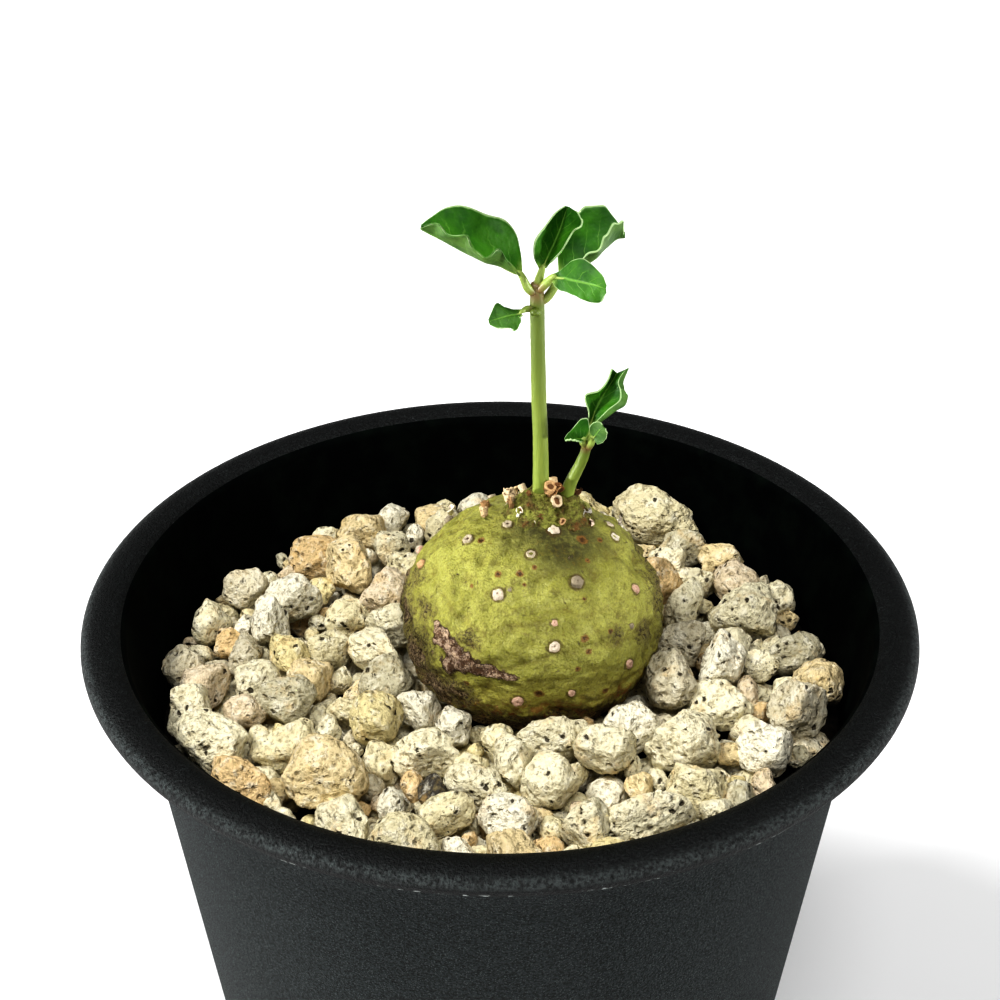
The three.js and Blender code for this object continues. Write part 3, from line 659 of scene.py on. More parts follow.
SKIN_LIME = "9c9b4d"
SKIN_GREEN = "8b8a3d"
SKIN_FILL_LIGHT = "bab45c"
SKIN_OLIVE = "6c662a"
SKIN_MOSS = "44411f"
CORK_PALE = "b09a78"
CORK_DARK = "3d2e1e"
SCAB_PALE = "c9b096"
SCAB_DARK = "6a4f39"
RUST = "864c26"
# The heights, in metres, between which the skin turns paler towards its foot: painted light against the shade
# on its lower side.
FILL_LIGHT_HEIGHTS = (0.0805, 0.0755)
SKIN_MARKS = ("corked", "scabbed", "shaded_crease", "rusted", "mossed", "ringed", "spotted")


def relief_of(out):
    """Soft lumps and a shallow crease across the front, as a share of the radius."""
    lumps = (0.016 * math.sin(3.1 * out.x + 1.3) * math.cos(2.7 * out.y - 0.4)
             + 0.012 * math.sin(5.2 * out.y + 2.1 * out.z + 0.8)
             + 0.010 * math.cos(4.4 * out.x - 3.6 * out.z + 2.0))
    crease = math.exp(-((out.z - 0.24 - 0.06 * math.sin(5 * out.x)) / 0.09) ** 2) * max(0, -out.y - 0.35)
    return 1 + lumps - 0.035 * crease


def on_caudex(out, proud=0.0):
    """The place on the skin in this direction from the middle, or a little proud of it."""
    relief = relief_of(out)
    across = CAUDEX_RADIUS * relief + proud
    upwards = CAUDEX_HALF_HEIGHT * relief + proud
    return CAUDEX_CENTRE + Vector((out.x * across, out.y * across, out.z * upwards))


def towards(azimuth, latitude):
    """The direction at this azimuth and latitude in degrees, seen from the caudex's middle."""
    return on_ball(math.radians(azimuth), math.sin(math.radians(latitude)))


def along_line(spot, stops):
    """How far a direction is from a line of stops on the ball, and how far along it that is."""
    best, share = 9.0, 0.0
    for i, (first, second) in enumerate(zip(stops, stops[1:])):
        run = second - first
        t = min(1.0, max(0.0, (spot - first).dot(run) / run.length_squared))
        away = (spot - first - run * t).length
        if away < best:
            best, share = away, (i + t) / (len(stops) - 1)
    return best, share


# Leaf scars: azimuth, latitude, radius in millimetres, kind.
FRONT_SCARS = [
    (147, 66, 0.75, "stub"), (108, 70, 0.7, "pearl"), (142, 78, 0.6, "pearl"), (-140, 77, 0.75, "ring"),
    (-87, 82, 0.65, "pearl"), (-21, 79, 0.55, "pearl"), (-55, 74, 0.9, "pearl"), (-6, 72, 0.6, "flake"),
    (-158, 60, 0.85, "ring"), (-173, 34, 0.8, "tan"), (-91, 64, 0.75, "ring"), (-34, 64, 0.75, "brown"),
    (-6, 52, 0.8, "flake"), (-110, 44, 0.95, "pearl"), (-104, 47, 0.5, "grey"), (-61, 48, 1.0, "grey"),
    (-26, 31, 0.8, "pink"), (-114, 53, 0.5, "brown"), (-99, 55, 0.5, "brown"), (-147, 64, 0.5, "brown"),
    (-79, 32, 0.6, "pink"), (-80, 21, 0.95, "pearl"), (-45, 1, 0.8, "pink"), (-96, -8, 0.9, "pink"),
    (-87, -4, 0.7, "brown"), (-73, -5, 0.65, "pink"), (-57, -9, 0.5, "brown"), (-39, 18, 0.5, "grey"),
    (-51, 21, 0.4, "brown"), (-65, 22, 0.6, "rust"), (-64, 15, 0.45, "rust"), (-70, 8, 0.4, "rust"),
    (-88, 58, 0.35, "brown"), (-45, 55, 0.35, "brown"), (-60, 40, 0.3, "rust"), (-118, -2, 0.4, "rust"),
    (-126, 2, 0.4, "rust"), (-95, 50, 0.3, "brown"), (-20, 58, 0.4, "brown"), (-128, 44, 0.3, "brown"),
]
FLAT_SCARS = ("brown", "rust")
BACK_SCARS = 14
SCAR_SEED = 5


def all_scars():
    """The scars listed for the front, then those drawn by chance on the back."""
    draw = draws_from(SCAR_SEED)
    scars = list(FRONT_SCARS)
    for i in range(BACK_SCARS):
        share = (i + 0.2 + 0.6 * next(draw)) / BACK_SCARS
        latitude = 5 + 61 * next(draw)
        kind = ("pearl", "grey", "brown", "pink", "ring")[i % 5]
        scars.append((2 + 170 * share, latitude, 0.55 + 0.4 * next(draw), kind))
    return scars


# Cork: cracked, netted bark tissue between two colours.
cork, given, result = effect("cork", {"Place": "Vector", "Plates per metre": "Float", "Pale": "Color",
                                      "Dark": "Color"}, {"Colour": "Color", "Height": "Float"})
wander = node(cork, "TexNoise", {"Vector": given["Place"], "Scale": 900.0, "Detail": 4.0, "Roughness": 0.7})
wander = node(cork, "VectorMath", {0: wander.outputs[1], 1: (0.0016, 0.0016, 0.0016), 2: given["Place"]},
              operation="MULTIPLY_ADD").outputs[0]
plates = node(cork, "TexVoronoi", {"Vector": wander, "Scale": given["Plates per metre"]},
              feature="DISTANCE_TO_EDGE")
flakes = node(cork, "TexNoise", {"Vector": given["Place"], "Scale": 2800.0, "Detail": 4.0, "Roughness": 0.75})
plate = plus(cork, fade(cork, plates.outputs["Distance"], 0.0, 0.2, 0.0, 0.6),
             fade(cork, flakes.outputs[0], 0.36, 0.64, -0.25, 0.45))
cork.links.new(tint(cork, plate, given["Dark"], given["Pale"]), result["Colour"])
cork.links.new(plate, result["Height"])


def cork_on(tree, place, per_metre, pale, dark):
    inputs = {"Place": place, "Plates per metre": per_metre, "Pale": pale, "Dark": dark}
    return node(tree, "Group", inputs, node_tree=cork).outputs


def green_skin():
    material, tree, place = finish("caudex skin", Roughness=0.5, Specular_IOR_Level=0.35,
                                   Subsurface_Weight=0.12, Subsurface_Scale=0.0006,
                                   Subsurface_Radius=(1.0, 0.9, 0.3))
    marks = {name: mark(tree, name) for name in SKIN_MARKS}
    broad = clouds(tree, place, 4.5, 3.0, 0.55)
    patch = clouds(tree, place, 1.4, 5.0, 0.68)
    fibre = clouds(tree, place, 0.25, 4.0, 0.7)
    torn = clouds(tree, place, 0.8, 4.0, 0.7)
    skin = tint(tree, fade(tree, broad, 0.4, 0.58), colour(SKIN_GREEN), colour(SKIN_LIME))
    # The lower skin is painted paler, as painted light against the shade beneath it.
    skin = layered(tree, skin, (height_in(tree, place), *FILL_LIGHT_HEIGHTS, 0.8, SKIN_FILL_LIGHT),
                   (patch, 0.52, 0.66, 0.7, SKIN_OLIVE), (patch, 0.44, 0.3, 0.65, "a6a563"),
                   (fibre, 0.52, 0.36, 0.55, "6b662a"), (fibre, 0.56, 0.7, 0.45, "a9a86b"))
    moss = times(tree, marks["mossed"], fade(tree, patch, 0.3, 0.55, 0.6, 1.0))
    # Creases, the hollows between the dimples and the thin wrinkle lines are darkened: painted shade.
    painted_crease_shade = times(tree, marks["shaded_crease"], fade(tree, torn, 0.35, 0.6, 0.25, 1.0))
    wrinkles = fade(tree, off_centre(tree, clouds(tree, place, 5.0, 3.0, 0.6)), 0.014, 0.0)
    wrinkles = times(tree, wrinkles, fade(tree, torn, 0.4, 0.6), 0.6)
    stain = times(tree, marks["rusted"], fade(tree, torn, 0.38, 0.58, 0.0, 0.75))
    rust = times(tree, marks["rusted"], fade(tree, clouds(tree, place, 1.1, 4.0, 0.7), 0.5, 0.6))
    freckled = plus(tree, fade(tree, broad, 0.55, 0.7, 0.0, 0.7), marks["rusted"])
    freckles = times(tree, pores_in(tree, place, 900.0)["Pits"], freckled)
    for share, code in ((moss, SKIN_MOSS), (painted_crease_shade, "675c20"), (wrinkles, "6a5e22"), (stain, "624d24"),
                        (rust, RUST), (freckles, "6e4f1e")):
        skin = tint(tree, share, skin, colour(code))
    worn = plus(tree, marks["spotted"], fibre)
    # The dark ring round each raised scar's foot is painted shade.
    skin = layered(tree, skin, (marks["ringed"], 0.2, 1.0, 0.8, "4d3a1c"), (worn, 0.75, 1.0, 0.9, "7d5828"),
                   (worn, 1.05, 1.25, 0.9, "40290f"))
    # Cork nets the skin first, then covers it.
    bark = cork_on(tree, place, 1900.0, colour(CORK_PALE), colour(CORK_DARK))
    netted = fade(tree, plus(tree, marks["corked"], torn, 0.8), 0.45, 0.8)
    skin = tint(tree, times(tree, netted, 0.45), skin, colour("847548"))
    skin = tint(tree, times(tree, fade(tree, bark["Height"], 0.45, 0.05), netted), skin, colour(CORK_DARK))
    corked = fade(tree, plus(tree, marks["corked"], torn, 0.9), 0.85, 1.15)
    skin = tint(tree, corked, skin, bark["Colour"])
    # The scab is cracked and has a dark, ragged edge.
    crust = fade(tree, plus(tree, torn, fibre, 0.5), 0.66, 0.84)
    scab = tint(tree, crust, colour(SCAB_DARK), colour(SCAB_PALE))
    cracks = off_centre(tree, clouds(tree, place, 1.0, 3.0, 0.6))
    scab = layered(tree, scab, (cracks, 0.03, 0.0, 0.8, "4a3424"))
    ragged = plus(tree, marks["scabbed"], torn, 1.3)
    scab_edge = times(tree, fade(tree, ragged, 0.68, 0.86), fade(tree, marks["scabbed"], 0.0, 0.08))
    skin = tint(tree, scab_edge, skin, colour("4b361c"))
    scabbed = fade(tree, ragged, 0.86, 0.98)
    skin = tint(tree, scabbed, skin, scab)
    dry = maths(tree, "MAXIMUM", corked, maths(tree, "MAXIMUM", scabbed, marks["mossed"]))
    rough = times(tree, bark["Height"], fade(tree, maths(tree, "MAXIMUM", netted, scabbed), 0.0, 1.0))
    normal = raised(tree, rough, 0.16)
    normal = raised(tree, plus(tree, patch, times(tree, torn, scabbed)), 0.9, normal)
    return dressed(material, skin, raised(tree, fibre, 0.12, normal), fade(tree, dry, 0.0, 1.0, 0.46, 0.88))


scab_line = [towards(-139, 21), towards(-133, 15), towards(-125, 8), towards(-112, 7), towards(-97, 6)]
SCAB_WIDTHS = (0.03, 0.14, 0.13, 0.05, 0.03)
MOSS_MIDDLE = Vector((0.2, -0.24, 0.95))
# Corky places: azimuth, latitude, reach as a share of the radius, strength.
CORK_PATCHES = [
    (-152, -6, 0.46, 0.85), (-138, -16, 0.38, 0.95), (-170, 8, 0.36, 0.8), (-124, -10, 0.22, 0.8),
    (-172, 28, 0.25, 0.45), (-2, 16, 0.38, 0.6), (-10, -8, 0.3, 0.55), (10, 30, 0.3, 0.5),
    (40, -2, 0.6, 1.0), (110, 0, 0.55, 1.0), (165, 2, 0.5, 1.0), (70, 6, 0.4, 0.9),
    (-150, 22, 0.2, 0.45), (-120, 20, 0.16, 0.45), (-48, 17, 0.14, 0.4), (-28, 8, 0.2, 0.5),
]
cork_patches = [(towards(azimuth, latitude), *rest) for azimuth, latitude, *rest in CORK_PATCHES]
scars = all_scars()
scar_spots = [(towards(azimuth, latitude), radius / CAUDEX_RADIUS) for azimuth, latitude, radius, _ in scars]

scar_places = np.array([[*spot] for spot, _ in scar_spots])
skin_shape = bmesh.new()
layer = {name: skin_shape.verts.layers.float.new(name) for name in SKIN_MARKS}
bmesh.ops.create_uvsphere(skin_shape, u_segments=288, v_segments=176, radius=1)
for point in skin_shape.verts:
    out = point.co.normalized()
    near = [(scar_spots[i], scars[i][3]) for i in np.flatnonzero(scar_places @ np.array(out) > 0.93)]
    calm = min([1.0] + [1 - math.exp(-((out - spot).length / (size * 2.4)) ** 2) for (spot, size), _ in near])
    dimpled = calm * (0.5 * noise.noise(out * 6.0) + 0.34 * noise.noise(out * 12.0))
    proud = 0.25 * noise.noise(out * 3.4) + dimpled + 0.06 * noise.noise(out * 26.0)
    wave = 0.24 + 0.06 * math.sin(5 * out.x)
    front = max(0.0, -out.y - 0.2)
    shaded_crease = 0.0
    for height, depth in ((wave, 0.24), (wave + 0.3 + 0.05 * math.sin(7 * out.x + 1), 0.2),
                          (wave - 0.24 + 0.07 * math.sin(4 * out.x + 2), 0.2),
                          (wave - 0.5 + 0.05 * math.sin(6 * out.x), 0.16)):
        sharp = math.exp(-((out.z - height - 0.09 * noise.noise(out * 4.0)) / 0.026) ** 2)
        sharp *= min(1.0, 2 * front) * (0.55 + 0.45 * noise.noise(out * 2.2 + Vector((4, 1, height * 9))))
        proud -= depth * sharp
        shaded_crease = max(shaded_crease, sharp)
    corked = max(strength * (1 - (out - spot).length / size) for spot, size, strength in cork_patches)
    corked = max(0.0, corked, 0.5 - 2.6 * (out.z + 0.44) if out.z < -0.1 else 0.0)
    away, share = along_line(out, scab_line)
    first = min(3, int(share * 4))
    scab_width = SCAB_WIDTHS[first] + (SCAB_WIDTHS[first + 1] - SCAB_WIDTHS[first]) * (share * 4 - first)
    scab_width *= 1 + 0.7 * noise.noise(out * 8.0) + 0.4 * noise.noise(out * 21.0)
    scabbed = max(0.0, 1 - away / scab_width)
    proud += 0.28 * min(1.0, scabbed * 2.2) * (0.7 + 0.6 * noise.noise(out * 14.0))
    proud += 0.12 * corked * noise.noise(out * 17.0)
    ringed = 0.0
    spotted = 0.0
    for (spot, size), kind in near:
        reach = (out - spot).length
        if reach > size * 4:
            continue
        if kind in FLAT_SCARS:
            spotted = max(spotted, 1 - reach / (size * 1.3))
            proud += 0.1 * math.exp(-((reach - size * 0.8) / (size * 0.4)) ** 2)
        else:
            # A dark ring round a raised scar's foot, for painted shade.
            proud += 0.26 * math.exp(-(reach / (size * 1.7)) ** 2)
            ringed = max(ringed, math.exp(-((reach - size * 0.8) / (size * 0.22)) ** 2))
    # The hollows between the dimples are marked with the creases, for painted shade.
    shaded_crease = max(shaded_crease, min(0.8, -2.6 * dimpled - 0.25))
    rusted = min(1.0, max(0.0, 1.05 - abs(out.z + 0.36) / 0.24))
    mossed = 1.5 - (out - MOSS_MIDDLE).length / (0.35 + 0.16 * noise.noise(out * 4))
    mossed = min(1.0, max(0.0, mossed, 3 * (out.z - 0.9)))
    for name, value in zip(SKIN_MARKS, (corked, scabbed, shaded_crease, rusted, mossed, ringed, spotted)):
        point[layer[name]] = value
    point.co = on_caudex(out, proud)


def ringed_run(shape, stations, sides, steps, ripple, seed):
    """A round body drawn along a line of (x, y, z, radius) stations; returns its points."""
    spots = [Vector(station[:3]) for station in stations]
    spots = [2 * spots[0] - spots[1]] + spots + [2 * spots[-1] - spots[-2]]
    rings = []
    for i in range(len(stations) - 1):
        a, b, c, d = spots[i:i + 4]
        for step in range(steps + (i == len(stations) - 2)):
            t = step / steps
            centre = 0.5 * (2 * b + (c - a) * t + (2 * a - 5 * b + 4 * c - d) * t * t
                            + (3 * b - a - 3 * c + d) * t ** 3)
            rings.append((centre, stations[i][3] * (1 - t) + stations[i + 1][3] * t))
    frames = []
    for i, (centre, radius) in enumerate(rings):
        ahead = (rings[min(i + 1, len(rings) - 1)][0] - rings[max(i - 1, 0)][0]).normalized()
        turn = Vector((0, 0, 1)).rotation_difference(ahead).to_matrix().to_4x4()
        size = Matrix.Diagonal((radius, radius, radius, 1))
        frames.append(Matrix.Translation(centre) @ turn @ size)
    made = bmesh.ops.create_circle(shape, segments=sides, radius=1, cap_ends=True, matrix=frames[0])["verts"]
    edge = list({e for v in made for e in v.link_edges})
    for before, after in zip(frames, frames[1:]):
        grown = bmesh.ops.extrude_edge_only(shape, edges=edge)["geom"]
        fresh = [item for item in grown if isinstance(item, bmesh.types.BMVert)]
        edge = [item for item in grown if isinstance(item, bmesh.types.BMEdge)
                and item.verts[0] in fresh and item.verts[1] in fresh]
        bmesh.ops.transform(shape, matrix=after @ before.inverted(), verts=fresh)
        made += fresh
    bmesh.ops.contextual_create(shape, geom=edge)
    shift = Vector((seed * 1.7, seed * 2.3, seed * 0.9))
    for point in made:
        point.co += ripple * noise.noise_vector(point.co * 1.6 + shift)
    return made


# Vector noise starts anew each time unless it is given a seed.
noise.seed_set(RIPPLE_SEED)
ringed_run(skin_shape, TAPROOT, 32, 6, 0.25, 3)
tidied(skin_shape)
in_place("caudex_skin", skin_shape, green_skin(), "caudex_skin", "caudex")


# ---- The leaf scars ---------------------------------------------------------
# Where a leaf has dropped, its stalk leaves a small corky cup, pearl or ring on the
# caudex. The fresh ones are pale, the old ones brown and worn. The dark at each scar's
# foot and in its hollow is painted shade.

# The pale and the dark tone of each kind of scar.
SCAR_COLOURS = {"pearl": ("e9dcc6", "7a5a3c"), "ring": ("cdbfa4", "4a3626"), "grey": ("a39780", "5a4c3a"),
                "pink": ("dcb9a2", "7c5643"), "tan": ("d9b184", "7b4f2d"), "flake": ("ece3d0", "6b5238"),
                "stub": ("b08a5c", "4a3220")}
# The two shapes of scar, as (radius, height) in shares of the scar's own radius.
PEARL = [(1.1, -0.45), (1.06, -0.1), (0.98, 0.15), (0.94, 0.38), (0.82, 0.6), (0.6, 0.74), (0.36, 0.78),
         (0.2, 0.7), (0.1, 0.6), (0, 0.58)]
CUP = [(1.12, -0.45), (1.08, -0.1), (0.98, 0.15), (0.98, 0.42), (0.9, 0.6), (0.74, 0.66), (0.56, 0.6),
       (0.42, 0.44), (0.22, 0.36), (0, 0.34)]
# A cup takes up this share of its scar's width; a dark ring of painted shade round its foot is the rest.
SCAR_SHARE = 0.68


def scar_cork():
    material, tree, place = finish("leaf scar cork", Roughness=0.75, Specular_IOR_Level=0.35)
    pale, dark = mark(tree, "pale", "Color"), mark(tree, "dark", "Color")
    rind = cork_on(tree, place, 2300.0, pale, dark)
    surface = tint(tree, 0.35, pale, rind["Colour"])
    # Low on each scar, at its foot and in the hollow of a cup or a stalk's mouth, the colour turns dark:
    # painted shade.
    worn = plus(tree, mark(tree, "rise"), clouds(tree, place, 0.4, 3.0, 0.6), 0.5)
    surface = tint(tree, fade(tree, worn, 0.75, 0.42), surface, dark)
    return dressed(material, surface, raised(tree, rind["Height"], 0.06))


def scar_marks(shape):
    """The marks that scar cork reads: a pale and a dark tone, and how far up the scar a point is."""
    marks = shape.verts.layers
    return marks.float_color.new("pale"), marks.float_color.new("dark"), marks.float.new("rise")


scar_shape = bmesh.new()
for order, (azimuth, latitude, radius, kind) in enumerate(scars):
    if kind in FLAT_SCARS:
        continue
    out = towards(azimuth, latitude)
    radius *= SCAR_SHARE
    profile = CUP if kind in ("ring", "stub", "flake") else PEARL
    tall = {"stub": 2.0, "grey": 1.15}.get(kind, 0.95)
    axis = Vector((out.x / CAUDEX_RADIUS, out.y / CAUDEX_RADIUS, out.z / CAUDEX_HALF_HEIGHT)).normalized()
    lean = Vector((0, 0, 1)).rotation_difference((axis + Vector((0, 0, 0.25))).normalized())
    stand = (Matrix.Translation(on_caudex(out, 0.12)) @ lean.to_matrix().to_4x4()
             @ Matrix.Diagonal((radius, radius * 0.92, radius, 1)))
    cup_shape = bmesh.new()
    pale, dark, rise = scar_marks(cup_shape)
    for point in turned(cup_shape, [(r, h * tall) for r, h in profile], 28):
        ragged = 1 + 0.22 * noise.noise(point.co * 1.8 + Vector((order * 2.3, order, 0)))
        far_out = point.co.xy.length
        # The scar's foot and the hollow of a cup are marked low, so they are painted dark as shade.
        point[rise] = 0.15 if far_out > 1.0 else 0.5 + 0.5 * max(0.0, point.co.z)
        if far_out < (0.4 if profile is CUP else 0.15):
            point[rise] = 0.2 if profile is CUP else 0.3
        point[pale] = [part * 0.8 for part in colour(SCAR_COLOURS[kind][0])]
        point[dark] = colour(SCAR_COLOURS[kind][1])
        point.co = stand @ (point.co * ragged)
    joined(scar_shape, cup_shape)
tidied(scar_shape)
scar_finish = scar_cork()
in_place("leaf_scars", scar_shape, scar_finish, "caudex_skin")


# ---- The crown --------------------------------------------------------------
# The growing point on top of the caudex: two brown-green necks that the shoots rise
# from, ringed by the dried stubs of old leaf stalks and a few papery bud scales.

# Each neck: x, y, height and radius, from the foot up.
CROWN_NECKS = [
    [(4.0, 0.8, 87.0, 6.0), (4.05, 0.8, 89.1, 4.5), (4.1, 0.8, 90.9, 3.1), (4.25, 0.8, 92.3, 2.0),
     (4.3, 0.8, 93.2, 1.2)],
    [(6.6, 0.9, 87.0, 5.0), (6.7, 1.0, 89.2, 3.5), (6.8, 1.1, 91.1, 2.1), (7.0, 1.25, 92.5, 1.05)],
]
# Dried leaf stalks: foot, tip, foot radius, tip radius.
STALK_STUBS = [
    ((5.3, 0.6, 91.6), (6.0, -1.0, 93.0), 0.62, 0.58), ((5.0, 0.5, 92.4), (5.3, -0.4, 94.5), 0.5, 0.56),
    ((3.2, 0.2, 90.8), (2.0, -0.8, 91.7), 0.4, 0.36), ((5.9, 2.0, 91.0), (5.6, 3.0, 93.4), 0.48, 0.4),
    ((3.4, 1.8, 90.8), (2.2, 3.0, 92.4), 0.48, 0.4), ((6.2, -0.6, 90.4), (6.6, -1.7, 90.9), 0.36, 0.34),
    ((3.9, -1.1, 90.4), (3.5, -2.1, 90.8), 0.34, 0.3),
]
STUB_TONES = ("d9c6a4", "cda87a", "e2d8c0", "cdb48c")


def crown_bark():
    material, tree, place = finish("crown bark", Roughness=0.8, Specular_IOR_Level=0.25)
    patch = clouds(tree, place, 1.3, 4.0, 0.7)
    fibre = clouds(tree, place, 0.35, 4.0, 0.75)
    skin = tint(tree, fade(tree, patch, 0.38, 0.6), colour("82843f"), colour("5b5229"))
    skin = layered(tree, skin, (patch, 0.56, 0.68, 0.8, "6b4724"), (fibre, 0.5, 0.32, 0.8, "2c2412"),
                   (fibre, 0.58, 0.72, 0.5, "aba36a"))
    return dressed(material, skin, raised(tree, patch, 0.8, raised(tree, fibre, 0.2)))


crown_shape = bmesh.new()
for order, neck in enumerate(CROWN_NECKS):
    for point in ringed_run(crown_shape, neck, 96, 16, 0.35, order + 11):
        point.co += 0.16 * noise.noise_vector(point.co * 2.6)
tidied(crown_shape)
in_place("crown_necks", crown_shape, crown_bark(), "caudex_skin")

stub_shape = bmesh.new()
pale, dark, rise = scar_marks(stub_shape)
for order, (foot, tip, foot_radius, tip_radius) in enumerate(STALK_STUBS):
    foot, tip = Vector(foot), Vector(tip)
    length = (tip - foot).length
    profile = [(foot_radius, -0.4), (foot_radius * 0.95, length * 0.4), (tip_radius * 0.98, length * 0.85),
               (tip_radius * 1.12, length * 0.97), (tip_radius * 1.02, length),
               (tip_radius * 0.76, length * 0.98), (tip_radius * 0.55, length - 0.4 * tip_radius),
               (0, length - 0.5 * tip_radius)]
    lean = Vector((0, 0, 1)).rotation_difference(tip - foot).to_matrix().to_4x4()
    for point in turned(stub_shape, profile, 28):
        height = point.co.z / length
        # A stalk's hollow mouth and its foot are marked low, so they are painted dark as shade.
        in_mouth = point.co.xy.length < tip_radius * 0.6 and height > 0.5
        point[rise] = 0.1 if in_mouth else 0.15 + 0.9 * max(0, height)
        point[pale] = colour(STUB_TONES[order % len(STUB_TONES)])
        point[dark] = colour("6a4a2c")
        ragged = 0.2 * noise.noise_vector(point.co * 1.5 + Vector((order * 3.1, 0, 0)))
        point.co = Matrix.Translation(foot) @ lean @ (point.co + ragged)
tidied(stub_shape)
in_place("stalk_stubs", stub_shape, scar_finish, "caudex_skin")

# Papery scales: foot, direction the tip points, length, width, curl, web colour.
BUD_SCALES = [
    ((1.2, 0.3, 91.9), (-0.3, -0.2, 1.0), 2.0, 1.3, 1.2, "cbb594"),
    ((1.5, 0.0, 91.8), (-0.6, -0.3, 0.7), 1.3, 1.0, -1.0, "9a7c58"),
    ((1.9, -0.5, 91.2), (-0.2, -0.6, 0.7), 0.9, 0.8, 0.9, "e6dfcf"),
    ((-1.7, 0.6, 89.9), (-0.5, -0.4, 0.9), 1.4, 1.1, 1.3, "b9a17e"),
    ((-5.1, 6.0, 87.1), (-0.4, -0.3, 0.9), 1.4, 1.0, -1.2, "ded2ba"),
    ((3.2, 0.2, 93.2), (-0.3, -0.3, 1.0), 1.8, 0.4, 1.6, "7d5a36"),
    ((6.0, 0.4, 93.4), (0.4, -0.3, 0.9), 1.6, 0.5, -1.6, "6f4a2a"),
    ((4.9, 0.2, 93.0), (0.1, -0.4, 0.9), 1.6, 0.9, 1.2, "b58b5c"),
    ((5.5, 0.3, 93.2), (0.4, -0.5, 0.8), 1.3, 0.8, -1.2, "c29a6c"),
    ((8.0, 0.5, 90.2), (0.2, -0.5, 0.9), 1.2, 1.0, 1.1, "b8b4aa"),
    ((9.0, 1.1, 90.0), (0.3, -0.4, 0.9), 1.4, 1.0, -1.2, "a29c92"),
    ((9.8, 0.5, 89.2), (0.5, -0.6, 0.6), 1.1, 1.0, 1.1, "d9c4b0"),
    ((7.7, -0.1, 89.4), (0.1, -0.8, 0.6), 0.8, 0.8, 0.9, "ece6d8"),
    ((7.6, 1.0, 92.0), (0.7, -0.1, 0.9), 1.6, 0.4, 1.5, "4e341e"),
    ((13.0, 5.4, 85.9), (0.8, -0.2, 0.6), 0.9, 0.8, 1.2, "bdb3a2"),
    ((3.6, -0.3, 92.0), (-0.2, -0.7, 0.7), 1.0, 0.7, 1.2, "5d4526"),
    ((4.9, 3.4, 91.6), (0.1, 0.8, 0.8), 1.6, 0.9, 1.3, "a98f6c"),
    ((2.0, 3.0, 91.0), (-0.5, 0.6, 0.8), 1.4, 0.9, -1.2, "c2ab86"),
    ((7.8, 3.2, 90.6), (0.5, 0.7, 0.7), 1.4, 0.9, 1.3, "9a7c56"),
    ((4.4, -1.4, 91.4), (0.1, -0.9, 0.5), 0.9, 0.6, -1.0, "6b5430"),
]


def thickened(shape, thickness):
    """Gives a thin sheet a back and an edge all round."""
    made = bmesh.ops.extrude_face_region(shape, geom=shape.faces[:], use_keep_orig=True)
    shape.normal_update()
    for item in made["geom"]:
        if isinstance(item, bmesh.types.BMVert):
            item.co -= item.normal * thickness
    bmesh.ops.recalc_face_normals(shape, faces=shape.faces)


def dry_paper():
    material, tree, place = finish("dry paper scale", Roughness=0.85, Specular_IOR_Level=0.2)
    fibre = clouds(tree, place, 0.35, 4.0, 0.7)
    scale = layered(tree, mark(tree, "tone", "Color"), (fibre, 0.55, 0.36, 0.85, "3f2d1c"))
    return dressed(material, scale, raised(tree, fibre, 0.08))


scale_shape = bmesh.new()
tone = scale_shape.verts.layers.float_color.new("tone")
for order, (foot, direction, length, width, curl, code) in enumerate(BUD_SCALES):
    blade = bmesh.ops.create_grid(scale_shape, x_segments=10, y_segments=14, size=1)["verts"]
    lean = Vector((0, 0, 1)).rotation_difference(Vector(direction)).to_matrix().to_4x4()
    stand = Matrix.Translation(foot) @ lean @ Matrix.Rotation(order * 1.9, 4, "Z")
    for point in blade:
        along = (point.co.y + 1) / 2
        side = point.co.x * width / 2 * math.sin(math.pi * (0.22 + 0.6 * along)) ** 0.7
        crumple = noise.noise_vector(Vector((point.co.x * 1.6, point.co.y * 1.6, order * 3.3)))
        bow = curl * (along ** 2) * 0.55 + 0.8 * abs(curl) * (side / width) ** 2 * 2
        rise = along * length * (1 - 0.2 * abs(curl) * along)
        point[tone] = colour(code)
        point.co = stand @ (Vector((side, bow, rise)) + 0.17 * crumple)
thickened(scale_shape, 0.1)
in_place("bud_scales", scale_shape, dry_paper(), "caudex_skin")


# ---- The two shoots ---------------------------------------------------------
# Soft green stems a couple of millimetres thick, grown out of the crown. They are pale
# at the foot, olive higher up and flushed purple-brown where the leaf stalks part.

MAIN_STEM = [(4.35, 0.8, 91.6, 0.98), (4.3, 0.8, 94.0, 0.87), (4.2, 0.8, 99.3, 0.8),
             (4.0, 0.8, 104, 0.78), (3.8, 0.5, 111.1, 0.74), (3.7, 0.4, 115.4, 0.74),
             (3.65, 0.3, 117.5, 0.6)]
SIDE_STEM = [(6.75, 1.35, 91.2, 0.78), (7.3, 1.2, 93.4, 0.7), (7.75, 1.0, 94.8, 0.64),
             (8.32, 0.8, 96.2, 0.58), (8.8, 0.6, 97.7, 0.54), (9.0, 0.45, 98.9, 0.5)]
STEM_BUMP = [(3.7, 0.1, 114.6, 0.55), (3.3, -0.75, 114.8, 0.35)]

STEM_PALE = "828f43"
STEM_OLIVE = "5b6b27"
STEM_FLUSH = "71503a"


